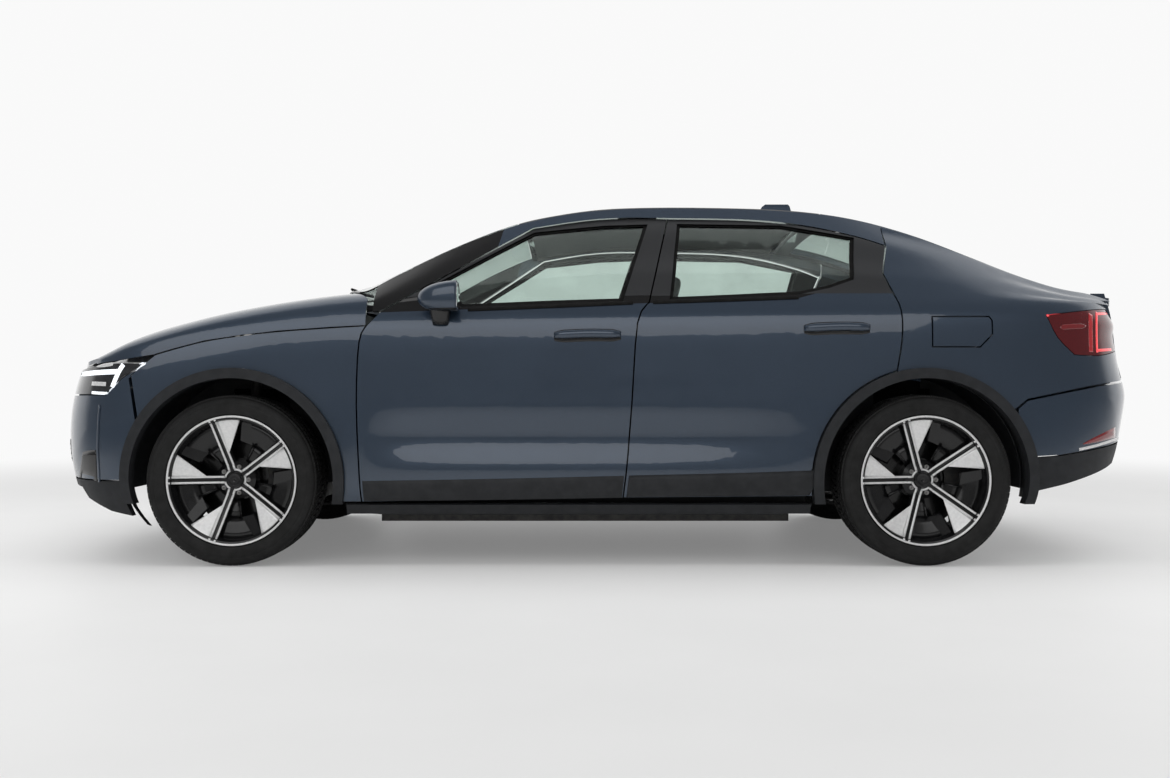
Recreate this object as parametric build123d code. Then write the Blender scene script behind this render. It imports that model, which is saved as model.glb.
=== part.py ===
"""Electric fastback sedan: separate body panels, glass, running gear and interior.

Frame: +X forward, +Y to the car's left, +Z up, origin on the ground under the middle of the car.
All lengths are in millimetres. Left-hand pieces are modelled and mirrored for the right.
"""
from build123d import *
import math
import os

# Overall sizes
LENGTH = 4606
WHEELBASE = 2735
FRONT_OVERHANG = 855
TRACK = 1600
BODY_HALF = 905
ROOF_TOP = 1485
ANTENNA_LEVELS = [(-832, 1462, 186, 66), (-836, 1512, 172, 46), (-846, 1560, 130, 22),
                  (-850, 1571, 108, 12)]
PANEL_GAP = 6

# Wheels and tyres
TYRE_RADIUS = 338
TYRE_WIDTH = 236
RIM_RADIUS = 258
RIM_WIDTH = 214
DISC_RADIUS = 172
SPOKES = 5
SPOKE_PHASE = 18
SPOKE_ROOT = 60
SPOKE_HALF = 17
SPOKE_DEPTH = 30
GROOVE_WIDTH = 11
GROOVE_DEPTH = 7
BLADE_START = 132
BLADE_SWEEP = 26
PANEL_START = 158
PANEL_SWEEP = 34
PANEL_DROP = 14
PANEL_THICKNESS = 9
BOLT_CIRCLE = 108
BOLT_HOLE_RADIUS = 7.5

# Wheel arches
ARCH_RADIUS = 404
CLADDING_BAND = 40
CLADDING_PROUD = 22
LINER_RADIUS = 436
LINER_WALL = 8

# Wall thicknesses
DOOR_THICKNESS = 92
SKIN = 20
RETURN_STEP = 20
FENDER_THICKNESS = 34
QUARTER_THICKNESS = 84
BUMPER_THICKNESS = 46
LID_SKIN = 14
LID_DEPTH = 34
GLASS = 5
GLASS_INSET = 16
SEAT_CLEARANCE = 0.3

# Heights along the side
SILL_BOTTOM = 204
DOOR_BOTTOM_FRONT = 251
DOOR_BOTTOM_REAR = 274
SCULPT_DEPTH = 20
SCULPT_HEIGHT = 505
SCULPT_HALF = 115
GLASSHOUSE_BULGE = 14

# Plan shape of the corners
FRONT_TAPER = 1253
REAR_TAPER = 1203
CORNER_POWER = 6
CORNER_ROOT = 2.2

# Steering
KINGPIN_INSET = 145

# Places along the car
NOSE = LENGTH / 2
TAIL = -LENGTH / 2
FRONT_AXLE = NOSE - FRONT_OVERHANG
REAR_AXLE = FRONT_AXLE - WHEELBASE
WHEEL_Y = TRACK / 2
KINGPIN_Y = WHEEL_Y - KINGPIN_INSET
FAR = 3000


def smooth(stations, x):
    """Value at x on a smooth curve through (x, value) stations, level beyond both ends."""
    if x <= stations[0][0]:
        return stations[0][1]
    if x >= stations[-1][0]:
        return stations[-1][1]
    i = max(k for k in range(len(stations) - 1) if stations[k][0] <= x)

    def slope(k):
        lo, hi = max(k - 1, 0), min(k + 1, len(stations) - 1)
        return (stations[hi][1] - stations[lo][1]) / (stations[hi][0] - stations[lo][0])

    (x0, v0), (x1, v1) = stations[i], stations[i + 1]
    h = x1 - x0
    t = (x - x0) / h
    return (
        v0 * (1 + 2 * t) * (1 - t) ** 2
        + v1 * t * t * (3 - 2 * t)
        + h * slope(i) * t * (1 - t) ** 2
        - h * slope(i + 1) * t * t * (1 - t)
    )


# Body surface as formulas

def nose_x(z):
    """Foremost point of the plan outline at height z."""
    return NOSE - smooth([(180, 70), (330, 22), (470, 0), (600, 4), (720, 30), (830, 75)], z)


def tail_x(z):
    """Rearmost point of the plan outline at height z."""
    return TAIL + smooth([(250, 120), (420, 48), (560, 16), (680, 0), (780, 26), (880, 48), (1000, 58),
                          (1100, 80)], z)


def belt_z(x):
    """Height of the shoulder, which turns over into the hood ahead of the doors."""
    return smooth([(-2100, 1040), (-1200, 1046), (200, 1026), (930, 1012), (1300, 985), (1750, 900),
                   (2150, 850)], x)


def half_plan(x, z):
    """Half width of the plan outline at station x and height z, before the side's own profile."""
    if x > FRONT_TAPER:
        t = (x - FRONT_TAPER) / (nose_x(z) - FRONT_TAPER)
    elif x < -REAR_TAPER:
        t = (-x - REAR_TAPER) / (-tail_x(z) - REAR_TAPER)
    else:
        t = 0
    return BODY_HALF * (1 - min(t, 1) ** CORNER_POWER) ** (1 / CORNER_ROOT)


def side_inset(x, z):
    """How far the side lies inside the plan outline: tucked sill, hollow lower door, rounded shoulder."""
    tuck = smooth([(SILL_BOTTOM - 20, 66), (262, 20), (335, 4), (430, 0)], z)
    shoulder = smooth([(0, 38), (45, 13), (110, 2), (220, 0)], belt_z(x) - z)
    t = (z - SCULPT_HEIGHT) / SCULPT_HALF
    along = smooth([(-860, 0), (-420, 0.75), (100, 1), (720, 0.9), (930, 0)], x)
    hollow = SCULPT_DEPTH * along * (1 - t * t) ** 2 if abs(t) < 1 else 0
    return tuck + shoulder + hollow


def side_y(x, z):
    """Half width of the painted side at station x and height z."""
    return half_plan(x, z) - side_inset(x, z)


def rail_y(x):
    """Half width of the line where the side meets windscreen, roof or tailgate."""
    return smooth(
        [(-2150, 640), (-1920, 700), (-1700, 668), (-1316, 606), (-900, 582), (-305, 578),
         (77, 588), (328, 612), (574, 668), (960, 772)], x)


def rail_z(x):
    """Height of that line."""
    fall = smooth(
        [(-2150, 402), (-2000, 390), (-1880, 368), (-1750, 318), (-1556, 232), (-1316, 133), (-1068, 62),
         (-800, 25), (-400, 12), (-100, 16), (77, 32), (328, 84), (574, 184), (800, 302), (960, 396)], x)
    return ROOF_TOP - 8 - fall


def centre_z(x):
    """Height of the centre line over windscreen, roof, rear window and deck."""
    fall = smooth(
        [(-2230, 392), (-2150, 385), (-2000, 368), (-1880, 338), (-1750, 290), (-1556, 206), (-1316, 106),
         (-1068, 40), (-800, 9), (-400, 0), (-100, 2), (77, 14), (328, 52), (574, 132), (800, 226), (960,
                                                                                                     300),
         (1180, 412)], x)
    return ROOF_TOP - fall


def top_z(x, y):
    """Height of windscreen, roof or tailgate, crowned across the car."""
    return centre_z(x) - (centre_z(x) - rail_z(x)) * (y / rail_y(x)) ** 2


def hood_line(x):
    """Height of the hood's side edge, which runs on along the top of the headlamp."""
    return smooth([(905, 950), (1268, 926), (1556, 888), (1720, 845), (1790, 826), (2150, 783)], x)


def crest_z(x):
    """Height of the hood's rounded shoulder."""
    return smooth([(905, 1092), (1060, 1080), (1306, 1047), (1552, 1002), (1797, 941), (1920, 896),
                   (2043, 836),
                   (2150, 798), (2320, 745)], x)


# Small helpers

def mirrored(shape):
    """The same shape on the other side of the car."""
    return shape.mirror(Plane.XZ)


def both(shape):
    """A left-hand shape and its mirror image, as two solids."""
    return Compound(children=[*shape.solids(), *mirrored(shape).solids()])


def flowing(points, steps=3):
    """Points along a smooth curve through the given points."""
    out = [points[0]]
    for i in range(len(points) - 1):
        before, a = points[max(i - 1, 0)], points[i]
        b, after = points[i + 1], points[min(i + 2, len(points) - 1)]
        for k in range(1, steps + 1):
            t = k / steps
            out.append(tuple(
                p + 0.5 * ((q - o) * t + (2 * o - 5 * p + 4 * q - r) * t ** 2
                           + (3 * p - o - 3 * q + r) * t ** 3)
                for o, p, q, r in zip(before, a, b, after)))
    return out


def loop(*points):
    """Face in the XZ plane with straight sides."""
    return make_face(Polyline(*[Vector(x, 0, z) for x, z in points], close=True))


def closed(*chains):
    """Face in the XZ plane inside a loop of chains; a chain of more than two points flows through them."""
    ring = []
    for chain in chains:
        ring += (flowing(chain) if len(chain) > 2 else list(chain))[:-1]
    return loop(*ring)


def inset(face, amount):
    """The face drawn in by an amount all round."""
    return offset(face, -amount, kind=Kind.INTERSECTION)


def across(face, low=0, high=FAR):
    """Prism through the car from one half width to another, on a face in the XZ plane."""
    return extrude(face.moved(Location((0, low, 0))), high - low, dir=(0, 1, 0))


def plan_prism(points, low=-100, high=FAR):
    """Vertical prism on straight sides drawn in plan, mirrored about the car's centre."""
    ring = [*points, *[(x, -y) for x, y in reversed(points) if y > 0]]
    face = make_face(Polyline(*[Vector(x, y, low) for x, y in ring], close=True))
    return extrude(face, high - low, dir=(0, 0, 1))


def side_slab(x_low, x_high, thickness, start=0, columns=26, top=2.0):
    """Wall of the car's left side between two stations, from sill to rail, of one thickness across."""
    rows = []
    levels = [k * 0.0625 for k in range(17)] + [1 + k * (top - 1) / 5 for k in range(1, 6)]
    for i in range(columns + 1):
        x = x_low + (x_high - x_low) * i / columns
        row = []
        for level in levels:
            bottom, belt = SILL_BOTTOM - 20, belt_z(x)
            if level <= 1:
                z = bottom + (belt - bottom) * level
                y = side_y(x, z)
            else:
                s = level - 1
                z = belt + (rail_z(x) - belt) * s
                y = side_y(x, belt) * (1 - s) + rail_y(x) * s + GLASSHOUSE_BULGE * 4 * s * (1 - s)
            row.append(Vector(x, y - start, z))
        rows.append(row)
    face = Face.make_surface_from_array_of_points(rows, tol=0.3, min_deg=3, max_deg=5)
    return Solid.extrude(face, Vector(0, -thickness, 0))


def upper_slab(x_low, x_high, thickness, columns=30, rows=8, low=-0.1):
    """Wall of the left side from just under the shoulder up to the rail."""
    grid = []
    for i in range(columns + 1):
        x = x_low + (x_high - x_low) * i / columns
        belt = belt_z(x)
        levels = [low + (1 - low) * k / rows for k in range(rows + 1)]
        grid.append([Vector(x,
                            side_y(x,
                                   belt) * (1 - s) + rail_y(x) * s + GLASSHOUSE_BULGE * 4 * s * (1 - s),
                            belt + (rail_z(x) - belt) * s) for s in levels])
    face = Face.make_surface_from_array_of_points(grid, tol=0.3, min_deg=3, max_deg=5)
    return Solid.extrude(face, Vector(0, -thickness, 0))


def lower_slab(x_low, x_high, thickness, start=0, columns=22):
    """Wall of the left side up to the shoulder only."""
    return side_slab(x_low, x_high, thickness, start, columns, top=1.02)


def top_slab(x_low, x_high, direction, start=0, columns=18, rows=12):
    """Wall of the windscreen, roof or tailgate between two stations, thickened along a direction."""
    d = Vector(*direction)
    grid = []
    for i in range(columns + 1):
        x = x_low + (x_high - x_low) * i / columns
        half = rail_y(x) + 30
        grid.append([Vector(x, half * (2 * k / rows - 1),
                            top_z(x, half * (2 * k / rows - 1))) + d.normalized() * start
                     for k in range(rows + 1)])
    face = Face.make_surface_from_array_of_points(grid, tol=0.3, min_deg=3, max_deg=5)
    return Solid.extrude(face, d)


def corner_outline(z, shrink, front):
    """Plan outline of one end of the car at height z, drawn forwards, shrunk and closed straight across."""
    end = nose_x(z) if front else -tail_x(z)
    taper = FRONT_TAPER if front else REAR_TAPER
    half = BODY_HALF - side_inset(taper if front else -taper, z) - shrink
    left = []
    for angle in (4, 9, 16, 26, 38, 52, 70):
        s, c = math.sin(math.radians(angle)), math.cos(math.radians(angle))
        left.append((taper + (end - shrink - taper) * s ** (2 / CORNER_POWER),
                     half * c ** (2 / CORNER_ROOT)))
    points = [*left, (end - shrink, 0), *[(x, -y) for x, y in reversed(left)]]
    curve = Spline(*[Vector(x, y, z) for x, y in points])
    return make_face([curve, Line(curve @ 1, curve @ 0)])


def end_shell(front, levels):
    """Hollow front or rear end of the car, as thick as a bumper."""
    outer = loft([corner_outline(z, 0, front) for z in levels])
    inner_levels = (levels[0] - 30, *levels[2:-1:3], levels[-1] + 30)
    inner = loft([corner_outline(z, BUMPER_THICKNESS, front) for z in inner_levels])
    shell = outer - inner
    return shell if front else shell.mirror(Plane.YZ)


# Shut lines in side view, front to rear

HOOD_CORNER = (918, hood_line(918))
FENDER_DOOR = [(939, DOOR_BOTTOM_FRONT), (944, 340), (956, 640), (946, 880), HOOD_CORNER]
DOOR_DOOR_LOW = [(-95, 268), (-114, 440), (-130, 656), (-152, 960), (-200, 1044)]
DOOR_DOOR_TOP = [(-200, 1044), (-290, 1412)]
DOOR_TOP_FRONT = [(-290, 1412), (-120, 1414), (60, 1402), (271, 1368)]
PILLAR_LINE = [(271, 1368), (868, 1006)]
DOOR_TOP_REAR = [(-290, 1412), (-560, 1408), (-740, 1396), (-900, 1372), (-1080, 1328), (-1186, 1290)]
DOOR_REAR_UP = [(-1148, 1164), (-1176, 1080), (-1194, 1012), (-1193, 892), (-1172, 762)]


def arch_circle(axle, radius):
    """Disc of a wheel arch, in the XZ plane."""
    return make_face(Edge.make_circle(radius, Plane(origin=(axle, 0, TYRE_RADIUS), z_dir=(0, -1, 0))))


def arch_cut(axle, radius=ARCH_RADIUS + CLADDING_BAND, low=300):
    """Cylinder that opens a wheel arch through the left side."""
    return across(arch_circle(axle, radius), low, FAR)


def box(x_low, x_high, y_low, y_high, z_low, z_high):
    """Box between two stations, half widths and heights."""
    return Pos((x_low + x_high) / 2, (y_low + y_high) / 2, (z_low + z_high) / 2) * Box(
        x_high - x_low, y_high - y_low, z_high - z_low)


def rod(start, end, radius):
    """Round bar between two points."""
    a, b = Vector(*start), Vector(*end)
    return extrude(Plane(origin=a, z_dir=b - a) * Circle(radius), (b - a).length)


def save(shape, name):
    """Write one node as its own STEP file."""
    os.makedirs("parts", exist_ok=True)
    solids = shape.solids()
    export_step(solids[0] if len(solids) == 1 else Compound(children=solids), f"parts/{name}.step")


# Regions of the side, in side view

half_gap = PANEL_GAP / 2
hood_edge = [(x, hood_line(x)) for x in (918, 1060, 1268, 1420, 1556, 1680, 1754)]
fender_region = closed(
    FENDER_DOOR,
    hood_edge,
    [(1754, hood_line(1754)), (1826, 776)],
    [(1826, 776), (1852, 752)],
    [(1852, 752), (1822, 575)],
    [(1822, 575), (FRONT_AXLE, TYRE_RADIUS)],
    [(FRONT_AXLE, TYRE_RADIUS), (1030, DOOR_BOTTOM_FRONT)],
    [(1030, DOOR_BOTTOM_FRONT), (939, DOOR_BOTTOM_FRONT)],
)
front_door_region = closed(
    FENDER_DOOR,
    [HOOD_CORNER, (868, 1006)],
    list(reversed(PILLAR_LINE)),
    list(reversed(DOOR_TOP_FRONT)),
    list(reversed(DOOR_DOOR_TOP)),
    list(reversed(DOOR_DOOR_LOW)),
    [(-95, 268), (939, DOOR_BOTTOM_FRONT)],
)
rear_door_region = closed(
    DOOR_DOOR_LOW,
    DOOR_DOOR_TOP,
    DOOR_TOP_REAR,
    [(-1186, 1290), (-1148, 1164)],
    DOOR_REAR_UP,
    [(-1172, 762), (REAR_AXLE, TYRE_RADIUS)],
    [(REAR_AXLE, TYRE_RADIUS), (-850, DOOR_BOTTOM_REAR)],
    [(-850, DOOR_BOTTOM_REAR), (-95, 268)],
)
below_rails = closed(
    [(1000, 0), (1000, 985)],
    [(1000, 985), (868, 1006)],
    list(reversed(PILLAR_LINE)),
    list(reversed(DOOR_TOP_FRONT)),
    DOOR_TOP_REAR,
    [(-1186, 1290), (-1300, 1245)],
    [(-1300, 1245), (-1300, 0)],
    [(-1300, 0), (1000, 0)],
)
LAMP_TOP = [(-1771, 990), (-2003, 1018), (-2136, 1028)]
LAMP_FRONT = [(-1885, 836), (-1812, 905), (-1771, 990)]
LAMP_BOTTOM = [(-1885, 836), (-2003, 834), (-2136, 857)]
BUMPER_TOP_REAR = [(-1690, 658), (-1850, 690), (-2000, 716), (-2220, 738)]
quarter_region = closed(
    [(-1186, 1600), (-1186, 1290)],
    [(-1186, 1290), (-1148, 1164)],
    DOOR_REAR_UP,
    [(-1172, 762), (REAR_AXLE, TYRE_RADIUS)],
    [(REAR_AXLE, TYRE_RADIUS), (-1690, 658)],
    BUMPER_TOP_REAR,
    [(-2220, 738), (-2220, 1600)],
    [(-2220, 1600), (-1186, 1600)],
)
tail_lamp_region = closed(
    LAMP_FRONT,
    LAMP_TOP,
    [(-2136, 1028), (-2400, 1034)],
    [(-2400, 1034), (-2400, 880)],
    [(-2400, 880), (-2136, 857)],
    list(reversed(LAMP_BOTTOM)),
)
front_window = loop((548, 1026), (652, 1126), (266, 1352), (-20, 1380), (-206, 1386), (-96, 1050))
rear_window_side = loop((-328, 1388), (-282, 1056), (-795, 1076), (-924, 1104), (-1027, 1140),
                        (-1059, 1326), (-760, 1382))
head_lamp_region = loop((1754, 818), (1826, 777), (1887, 744), (1959, 677), (2127, 675), (2500, 675),
                        (2500, 738), (2161, 776), (1900, 808))


def door(region, window, x_low, x_high):
    """Door shell: outer skin with a narrower inner box, window cut through."""
    skin = side_slab(x_low, x_high, SKIN) & across(inset(region, half_gap), 400)
    inner = side_slab(x_low, x_high, DOOR_THICKNESS) & across(inset(region, RETURN_STEP), 400)
    return skin + inner - across(window, 300)


def door_glass(window, x_low, x_high):
    """Side window standing in its frame."""
    return side_slab(x_low, x_high, GLASS, GLASS_INSET) & across(inset(window, SEAT_CLEARANCE), 300)


# Doors

front_door = door(front_door_region, front_window, -310, 985)
rear_door = door(rear_door_region, rear_window_side, -1210, -70) - arch_cut(
    REAR_AXLE, ARCH_RADIUS + CLADDING_BAND + PANEL_GAP)
front_glass = door_glass(front_window, -310, 985)
rear_glass = door_glass(rear_window_side, -1210, -70)
HINGE_HEIGHTS = {"front": (430, 800), "rear": (356, 830)}
HINGE_BACK = {"front": 50, "rear": 30}
HINGE_IN = 16
PIN_RADIUS = 4.5
BARREL_RADIUS = 8
BARREL_HALF = 22


def hinge_axis(line, end):
    """Station of a door's upright hinge axis, behind its front edge so that the edge swings clear."""
    low, high = HINGE_HEIGHTS[end]
    stations = [x for x, z in flowing(line) if low - 60 < z < high + 60]
    return min(stations) - HINGE_BACK[end]


front_hinge_x = hinge_axis(FENDER_DOOR, "front")
rear_hinge_x = hinge_axis(DOOR_DOOR_LOW, "rear")
hinge_y = BODY_HALF - HINGE_IN


def hinge_notches(x, heights):
    """Pockets in a door's front edge, open inwards, where the fixed hinge barrels stand."""
    return [box(x - BARREL_RADIUS - 6, x + 150, 600, hinge_y + BARREL_RADIUS + 1, z - BARREL_HALF - 5,
                z + BARREL_HALF + 5)
            for z in heights]


def hinge_pins(x, heights):
    """Pins held by the door, on the hinge axis."""
    return [rod((x, hinge_y, z - BARREL_HALF - 12), (x, hinge_y, z + BARREL_HALF + 12),
                PIN_RADIUS) for z in heights]


def hinge_barrels(x, heights, pillar_y):
    """Fixed barrels on arms that reach out from a pillar."""
    shapes = []
    for z in heights:
        arm = box(x - 9, x + 9, pillar_y, hinge_y, z - 14, z + 14)
        barrel = rod((x, hinge_y, z - BARREL_HALF), (x, hinge_y, z + BARREL_HALF), BARREL_RADIUS)
        bore = rod((x, hinge_y, z - 60), (x, hinge_y, z + 60), PIN_RADIUS + SEAT_CLEARANCE)
        shapes.append(arm + barrel - bore)
    return shapes


for notch in hinge_notches(front_hinge_x, HINGE_HEIGHTS["front"]):
    front_door -= notch
for notch in hinge_notches(rear_hinge_x, HINGE_HEIGHTS["rear"]):
    rear_door -= notch
for pin in hinge_pins(front_hinge_x, HINGE_HEIGHTS["front"]):
    front_door += pin
for pin in hinge_pins(rear_hinge_x, HINGE_HEIGHTS["rear"]):
    rear_door += pin

# Door mirrors: cap on a short foot at the corner of the front window
mirror_head = Pos(640, 904, 1066) * Rot(0, 0, -8) * fillet(Box(96, 172, 122).edges(), 34)
mirror_foot = box(610, 676, 850, 946, 985, 1030)
mirror = mirror_head + mirror_foot - front_door - front_glass - box(500, 800, 600, 860, 900, 1200)

for name, shape in (("door_front", front_door), ("glass_front", front_glass), ("door_rear", rear_door),
                    ("glass_rear", rear_glass), ("mirror", mirror)):
    save(shape, f"{name}_left")
    save(mirrored(shape), f"{name}_right")

# Rail lines in plan
ROOF_FRONT = 335
ROOF_REAR = -935
SCREEN_BASE = 1120
rail_stations = (960, 800, 574, 420, 328, 200, 77, -120, -305, -600, -900, -1100, -1316, -1500, -1700,
                 -1920, -2060, -2260)


def between_rails(margin, x_low, x_high):
    """Vertical prism between the two rail lines, drawn in by a margin."""
    inner = [x for x in rail_stations if x_low < x < x_high]
    stations = [x_high, *inner, x_low]
    return plan_prism([(x, rail_y(x) - margin) for x in stations])


# Fixed side panels
cladding_radius = ARCH_RADIUS + CLADDING_BAND
fender = lower_slab(900, 1900, FENDER_THICKNESS) & across(inset(fender_region, half_gap), 400)
fender -= arch_cut(FRONT_AXLE, cladding_radius + 0.5)
save(both(fender), "fenders")

CORNER_HALF = 640
quarter = side_slab(-2158, -1130, QUARTER_THICKNESS, 0, 30) & across(inset(quarter_region, half_gap), 400)
quarter -= arch_cut(REAR_AXLE, cladding_radius + 0.5)
quarter -= across(offset(tail_lamp_region, half_gap, kind=Kind.INTERSECTION), 300)
quarter -= box(-2400, -2060, 0, CORNER_HALF + half_gap, 0, FAR)
FLAP_SHAPE = [(-1316, 868), (-1316, 982), (-1536, 982), (-1546, 968), (-1546, 916), (-1500, 868)]
flap_region = loop(*FLAP_SHAPE)
flap = side_slab(-1600, -1260, SKIN, 0, 12) & across(flap_region, 400)
quarter -= across(offset(flap_region, PANEL_GAP, kind=Kind.INTERSECTION), 860)
quarter -= between_rails(-half_gap, -2300, -1100)
save(both(quarter), "quarter_panels")
save(flap, "charge_flap")

rails = upper_slab(-1186 + half_gap, 898, 62)
rails -= across(offset(below_rails, half_gap, kind=Kind.INTERSECTION), 300)
rails -= between_rails(-half_gap, -1250, 950)
save(both(rails), "roof_rails")

sill_profile = make_face(Polyline(*[Vector(0, y, z) for y, z in (
    (664, SILL_BOTTOM), (866, SILL_BOTTOM), (880, 240), (764, 240), (764, 322), (664, 322))], close=True))
sill = extrude(sill_profile.moved(Location((-838, 0, 0))), 838 + 1000, dir=(1, 0, 0))
save(both(sill), "sills")

PILLAR_Y = 716
b_post_outline = loop((-70, 323), (-96, 700), (-150, 1040), (-250, 1360), (-330, 1360), (-252, 1040),
                      (-230, 700), (-230, 323))
b_post = side_slab(-420, -60, 56, 138, 8) & across(b_post_outline, 300)
a_post = box(880, 990, 660, PILLAR_Y + 40, 323, 900)
pillars = a_post + hinge_barrels(front_hinge_x, HINGE_HEIGHTS["front"], PILLAR_Y)
pillars += b_post + hinge_barrels(rear_hinge_x, HINGE_HEIGHTS["rear"], PILLAR_Y + 20)
save(both(pillars), "door_pillars")

# Wheel arches: claddings proud of the skin, liners inside
def cladding(axle, x_low, x_high, inner_y):
    """Band round a wheel arch, ending level with the sill."""
    band = lower_slab(x_low, x_high, BODY_HALF + CLADDING_PROUD - inner_y, -CLADDING_PROUD, 20)
    ring = across(arch_circle(axle, cladding_radius) - arch_circle(axle, ARCH_RADIUS), 300)
    return (band & ring) - box(-FAR, FAR, 0, FAR, -50, SILL_BOTTOM + 40)


claddings = [cladding(FRONT_AXLE, FRONT_AXLE - 480, FRONT_AXLE + 480, 872),
             cladding(REAR_AXLE, REAR_AXLE - 480, REAR_AXLE + 480, 872)]
save(Compound(children=[piece for shape in claddings for piece in both(shape).solids()]),
     "arch_claddings")


def liner(axle, radius, inner_y, outer_y):
    """Inner wheel arch with an upright wall, open where the suspension passes through."""
    shell = across(arch_circle(axle, radius + LINER_WALL), inner_y - LINER_WALL, outer_y)
    shell -= across(arch_circle(axle, radius), inner_y, outer_y + 1)
    shell -= box(axle - 600, axle + 600, 0, FAR, -200, 300)
    shell -= box(axle - 80, axle + 70, 540, 680, 700, 900)
    return shell - box(axle - 120, axle + 120, 0, 600, 0, 700)


liners = [liner(FRONT_AXLE, LINER_RADIUS, 474, 796), liner(REAR_AXLE, LINER_RADIUS - 26, 560, 800)]
save(Compound(children=[piece for shape in liners for piece in both(shape).solids()]), "wheel_liners")

# Roof, windscreen and tailgate
roof = top_slab(ROOF_REAR - 60, ROOF_FRONT + 60, (0, 0, -22)) & between_rails(
    half_gap, ROOF_REAR + half_gap, ROOF_FRONT - half_gap)
save(roof, "roof_panel")

screen_edge = plan_prism([(SCREEN_BASE, 0), (1108, 250), (1060, 520), (985, 690),
                          (900, rail_y(900) - half_gap),
                          (700, rail_y(700) - half_gap), (500, rail_y(500) - half_gap),
                          (ROOF_FRONT + half_gap, rail_y(ROOF_FRONT + half_gap) - half_gap)])
windscreen = top_slab(ROOF_FRONT - 30, SCREEN_BASE + 40, (-3, 0, -5), 0, 20, 14) & screen_edge
save(windscreen, "windscreen")

REAR_LEVELS = (250, 335, 420, 505, 590, 675, 760, 845, 930, 1015, 1097)
rear_shell = end_shell(False, REAR_LEVELS)
LIP_REACH = 14
tail_plan = [(tail_x(1097) - LIP_REACH, 0)]
for angle in (70, 52, 38, 26, 16):
    s, c = math.sin(math.radians(angle)), math.cos(math.radians(angle))
    tail_plan.append((-REAR_TAPER - (LIP_REACH - tail_x(1097) - REAR_TAPER) * s ** (2 / CORNER_POWER),
                      BODY_HALF * c ** (2 / CORNER_ROOT)))
gate_deck = top_slab(-2240, ROOF_REAR + 40, (0, 0, -LID_DEPTH), 0, 26) & between_rails(
    half_gap, -2240, ROOF_REAR - half_gap)
gate_deck &= plan_prism([*tail_plan, (-900, BODY_HALF), (-900, 0)])
gate_face = rear_shell & box(-2400, -2050, -CORNER_HALF + half_gap, CORNER_HALF - half_gap,
                             738 + PANEL_GAP, 1200)
gate_window = between_rails(74, -1905, ROOF_REAR - 70)
LIGHT_BAR = (906, 968)
gate_bar = box(-2400, -2190, -CORNER_HALF + 40, CORNER_HALF - 40, *LIGHT_BAR)
light_bar = (rear_shell & box(-2400, -2190, -CORNER_HALF + 40.3, CORNER_HALF - 40.3, LIGHT_BAR[0] + 0.3,
                              LIGHT_BAR[1] - 0.3))
tailgate = gate_deck + gate_face - gate_window - gate_bar
save(tailgate, "tailgate")
rear_window = top_slab(-2000, ROOF_REAR + 40, (0, 0, -GLASS), 9, 24) & between_rails(
    74 + SEAT_CLEARANCE, -1905 + SEAT_CLEARANCE, ROOF_REAR - 70 - SEAT_CLEARANCE)
save(rear_window, "rear_window")
save(light_bar, "light_bar")

# Hood: a clamshell that turns down over the fenders
HOOD_STATIONS = [890 + 100.5 * k for k in range(15)]


def hood_row(x):
    """Points across the hood at one station."""
    edge = hood_line(x) - 12
    least = smooth([(1920, 0), (2040, 765), (2150, 700), (2300, 640)], x)
    half = max(side_y(x, edge), least)
    crest = crest_z(x)
    rise = smooth([(905, 26), (1448, 34), (1800, 38), (2150, 34), (2320, 22)], x)
    crest_y = half - smooth([(905, 140), (1448, 160), (1800, 195), (2150, 200)], x)
    left = [(half, edge), (half - 6, edge + 0.36 * (crest - edge)),
            (half - 30, edge + 0.66 * (crest - edge)),
            (0.45 * half + 0.55 * crest_y, edge + 0.89 * (crest - edge)), (crest_y, crest),
            (0.66 * crest_y, crest + 0.56 * rise), (0.33 * crest_y, crest + 0.89 * rise), (0,
                                                                                           crest + rise)]
    return [Vector(x, y, z) for y, z in [*left, *[(-y, z) for y, z in reversed(left[:-1])]]]


hood_face = Face.make_surface_from_array_of_points([hood_row(x) for x in HOOD_STATIONS], tol=1, min_deg=3,
                                                   max_deg=3)
hood_blank = Solid.thicken(hood_face, LID_SKIN)
under_hood_line = loop(*[(x, hood_line(x) + half_gap) for x in (880, 1060, 1268, 1420, 1556, 1680, 1760,
                                                                1900, 2050, 2150, 2400)],
                       (2400, 0), (880, 0))
nose_line = [(nose_x(800) - 8, 0)]
for angle in (70, 52, 38, 26, 16, 9):
    s, c = math.sin(math.radians(angle)), math.cos(math.radians(angle))
    nose_line.append((FRONT_TAPER + (nose_x(800) - 8 - FRONT_TAPER) * s ** (2 / CORNER_POWER),
                      (BODY_HALF - 4) * c ** (2 / CORNER_ROOT)))
hood_plan = plan_prism([*nose_line, (1500, 940), (918 + half_gap, 940), (918 + half_gap, 850), (985, 760),
                        (1090, 560), (1150, 280),
                        (1168, 0)])
hood = (hood_blank - across(under_hood_line, -FAR, FAR)) & hood_plan
save(hood, "hood")

cowl = plan_prism([(1240, 0), (1225, 300), (1160, 580), (1060, 720), (960, 800), (905, 800), (930, 720),
                   (1010, 640),
                   (1070, 470), (1098, 240), (1108, 0)], 1015, 1036)
save(cowl, "cowl")

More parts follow.
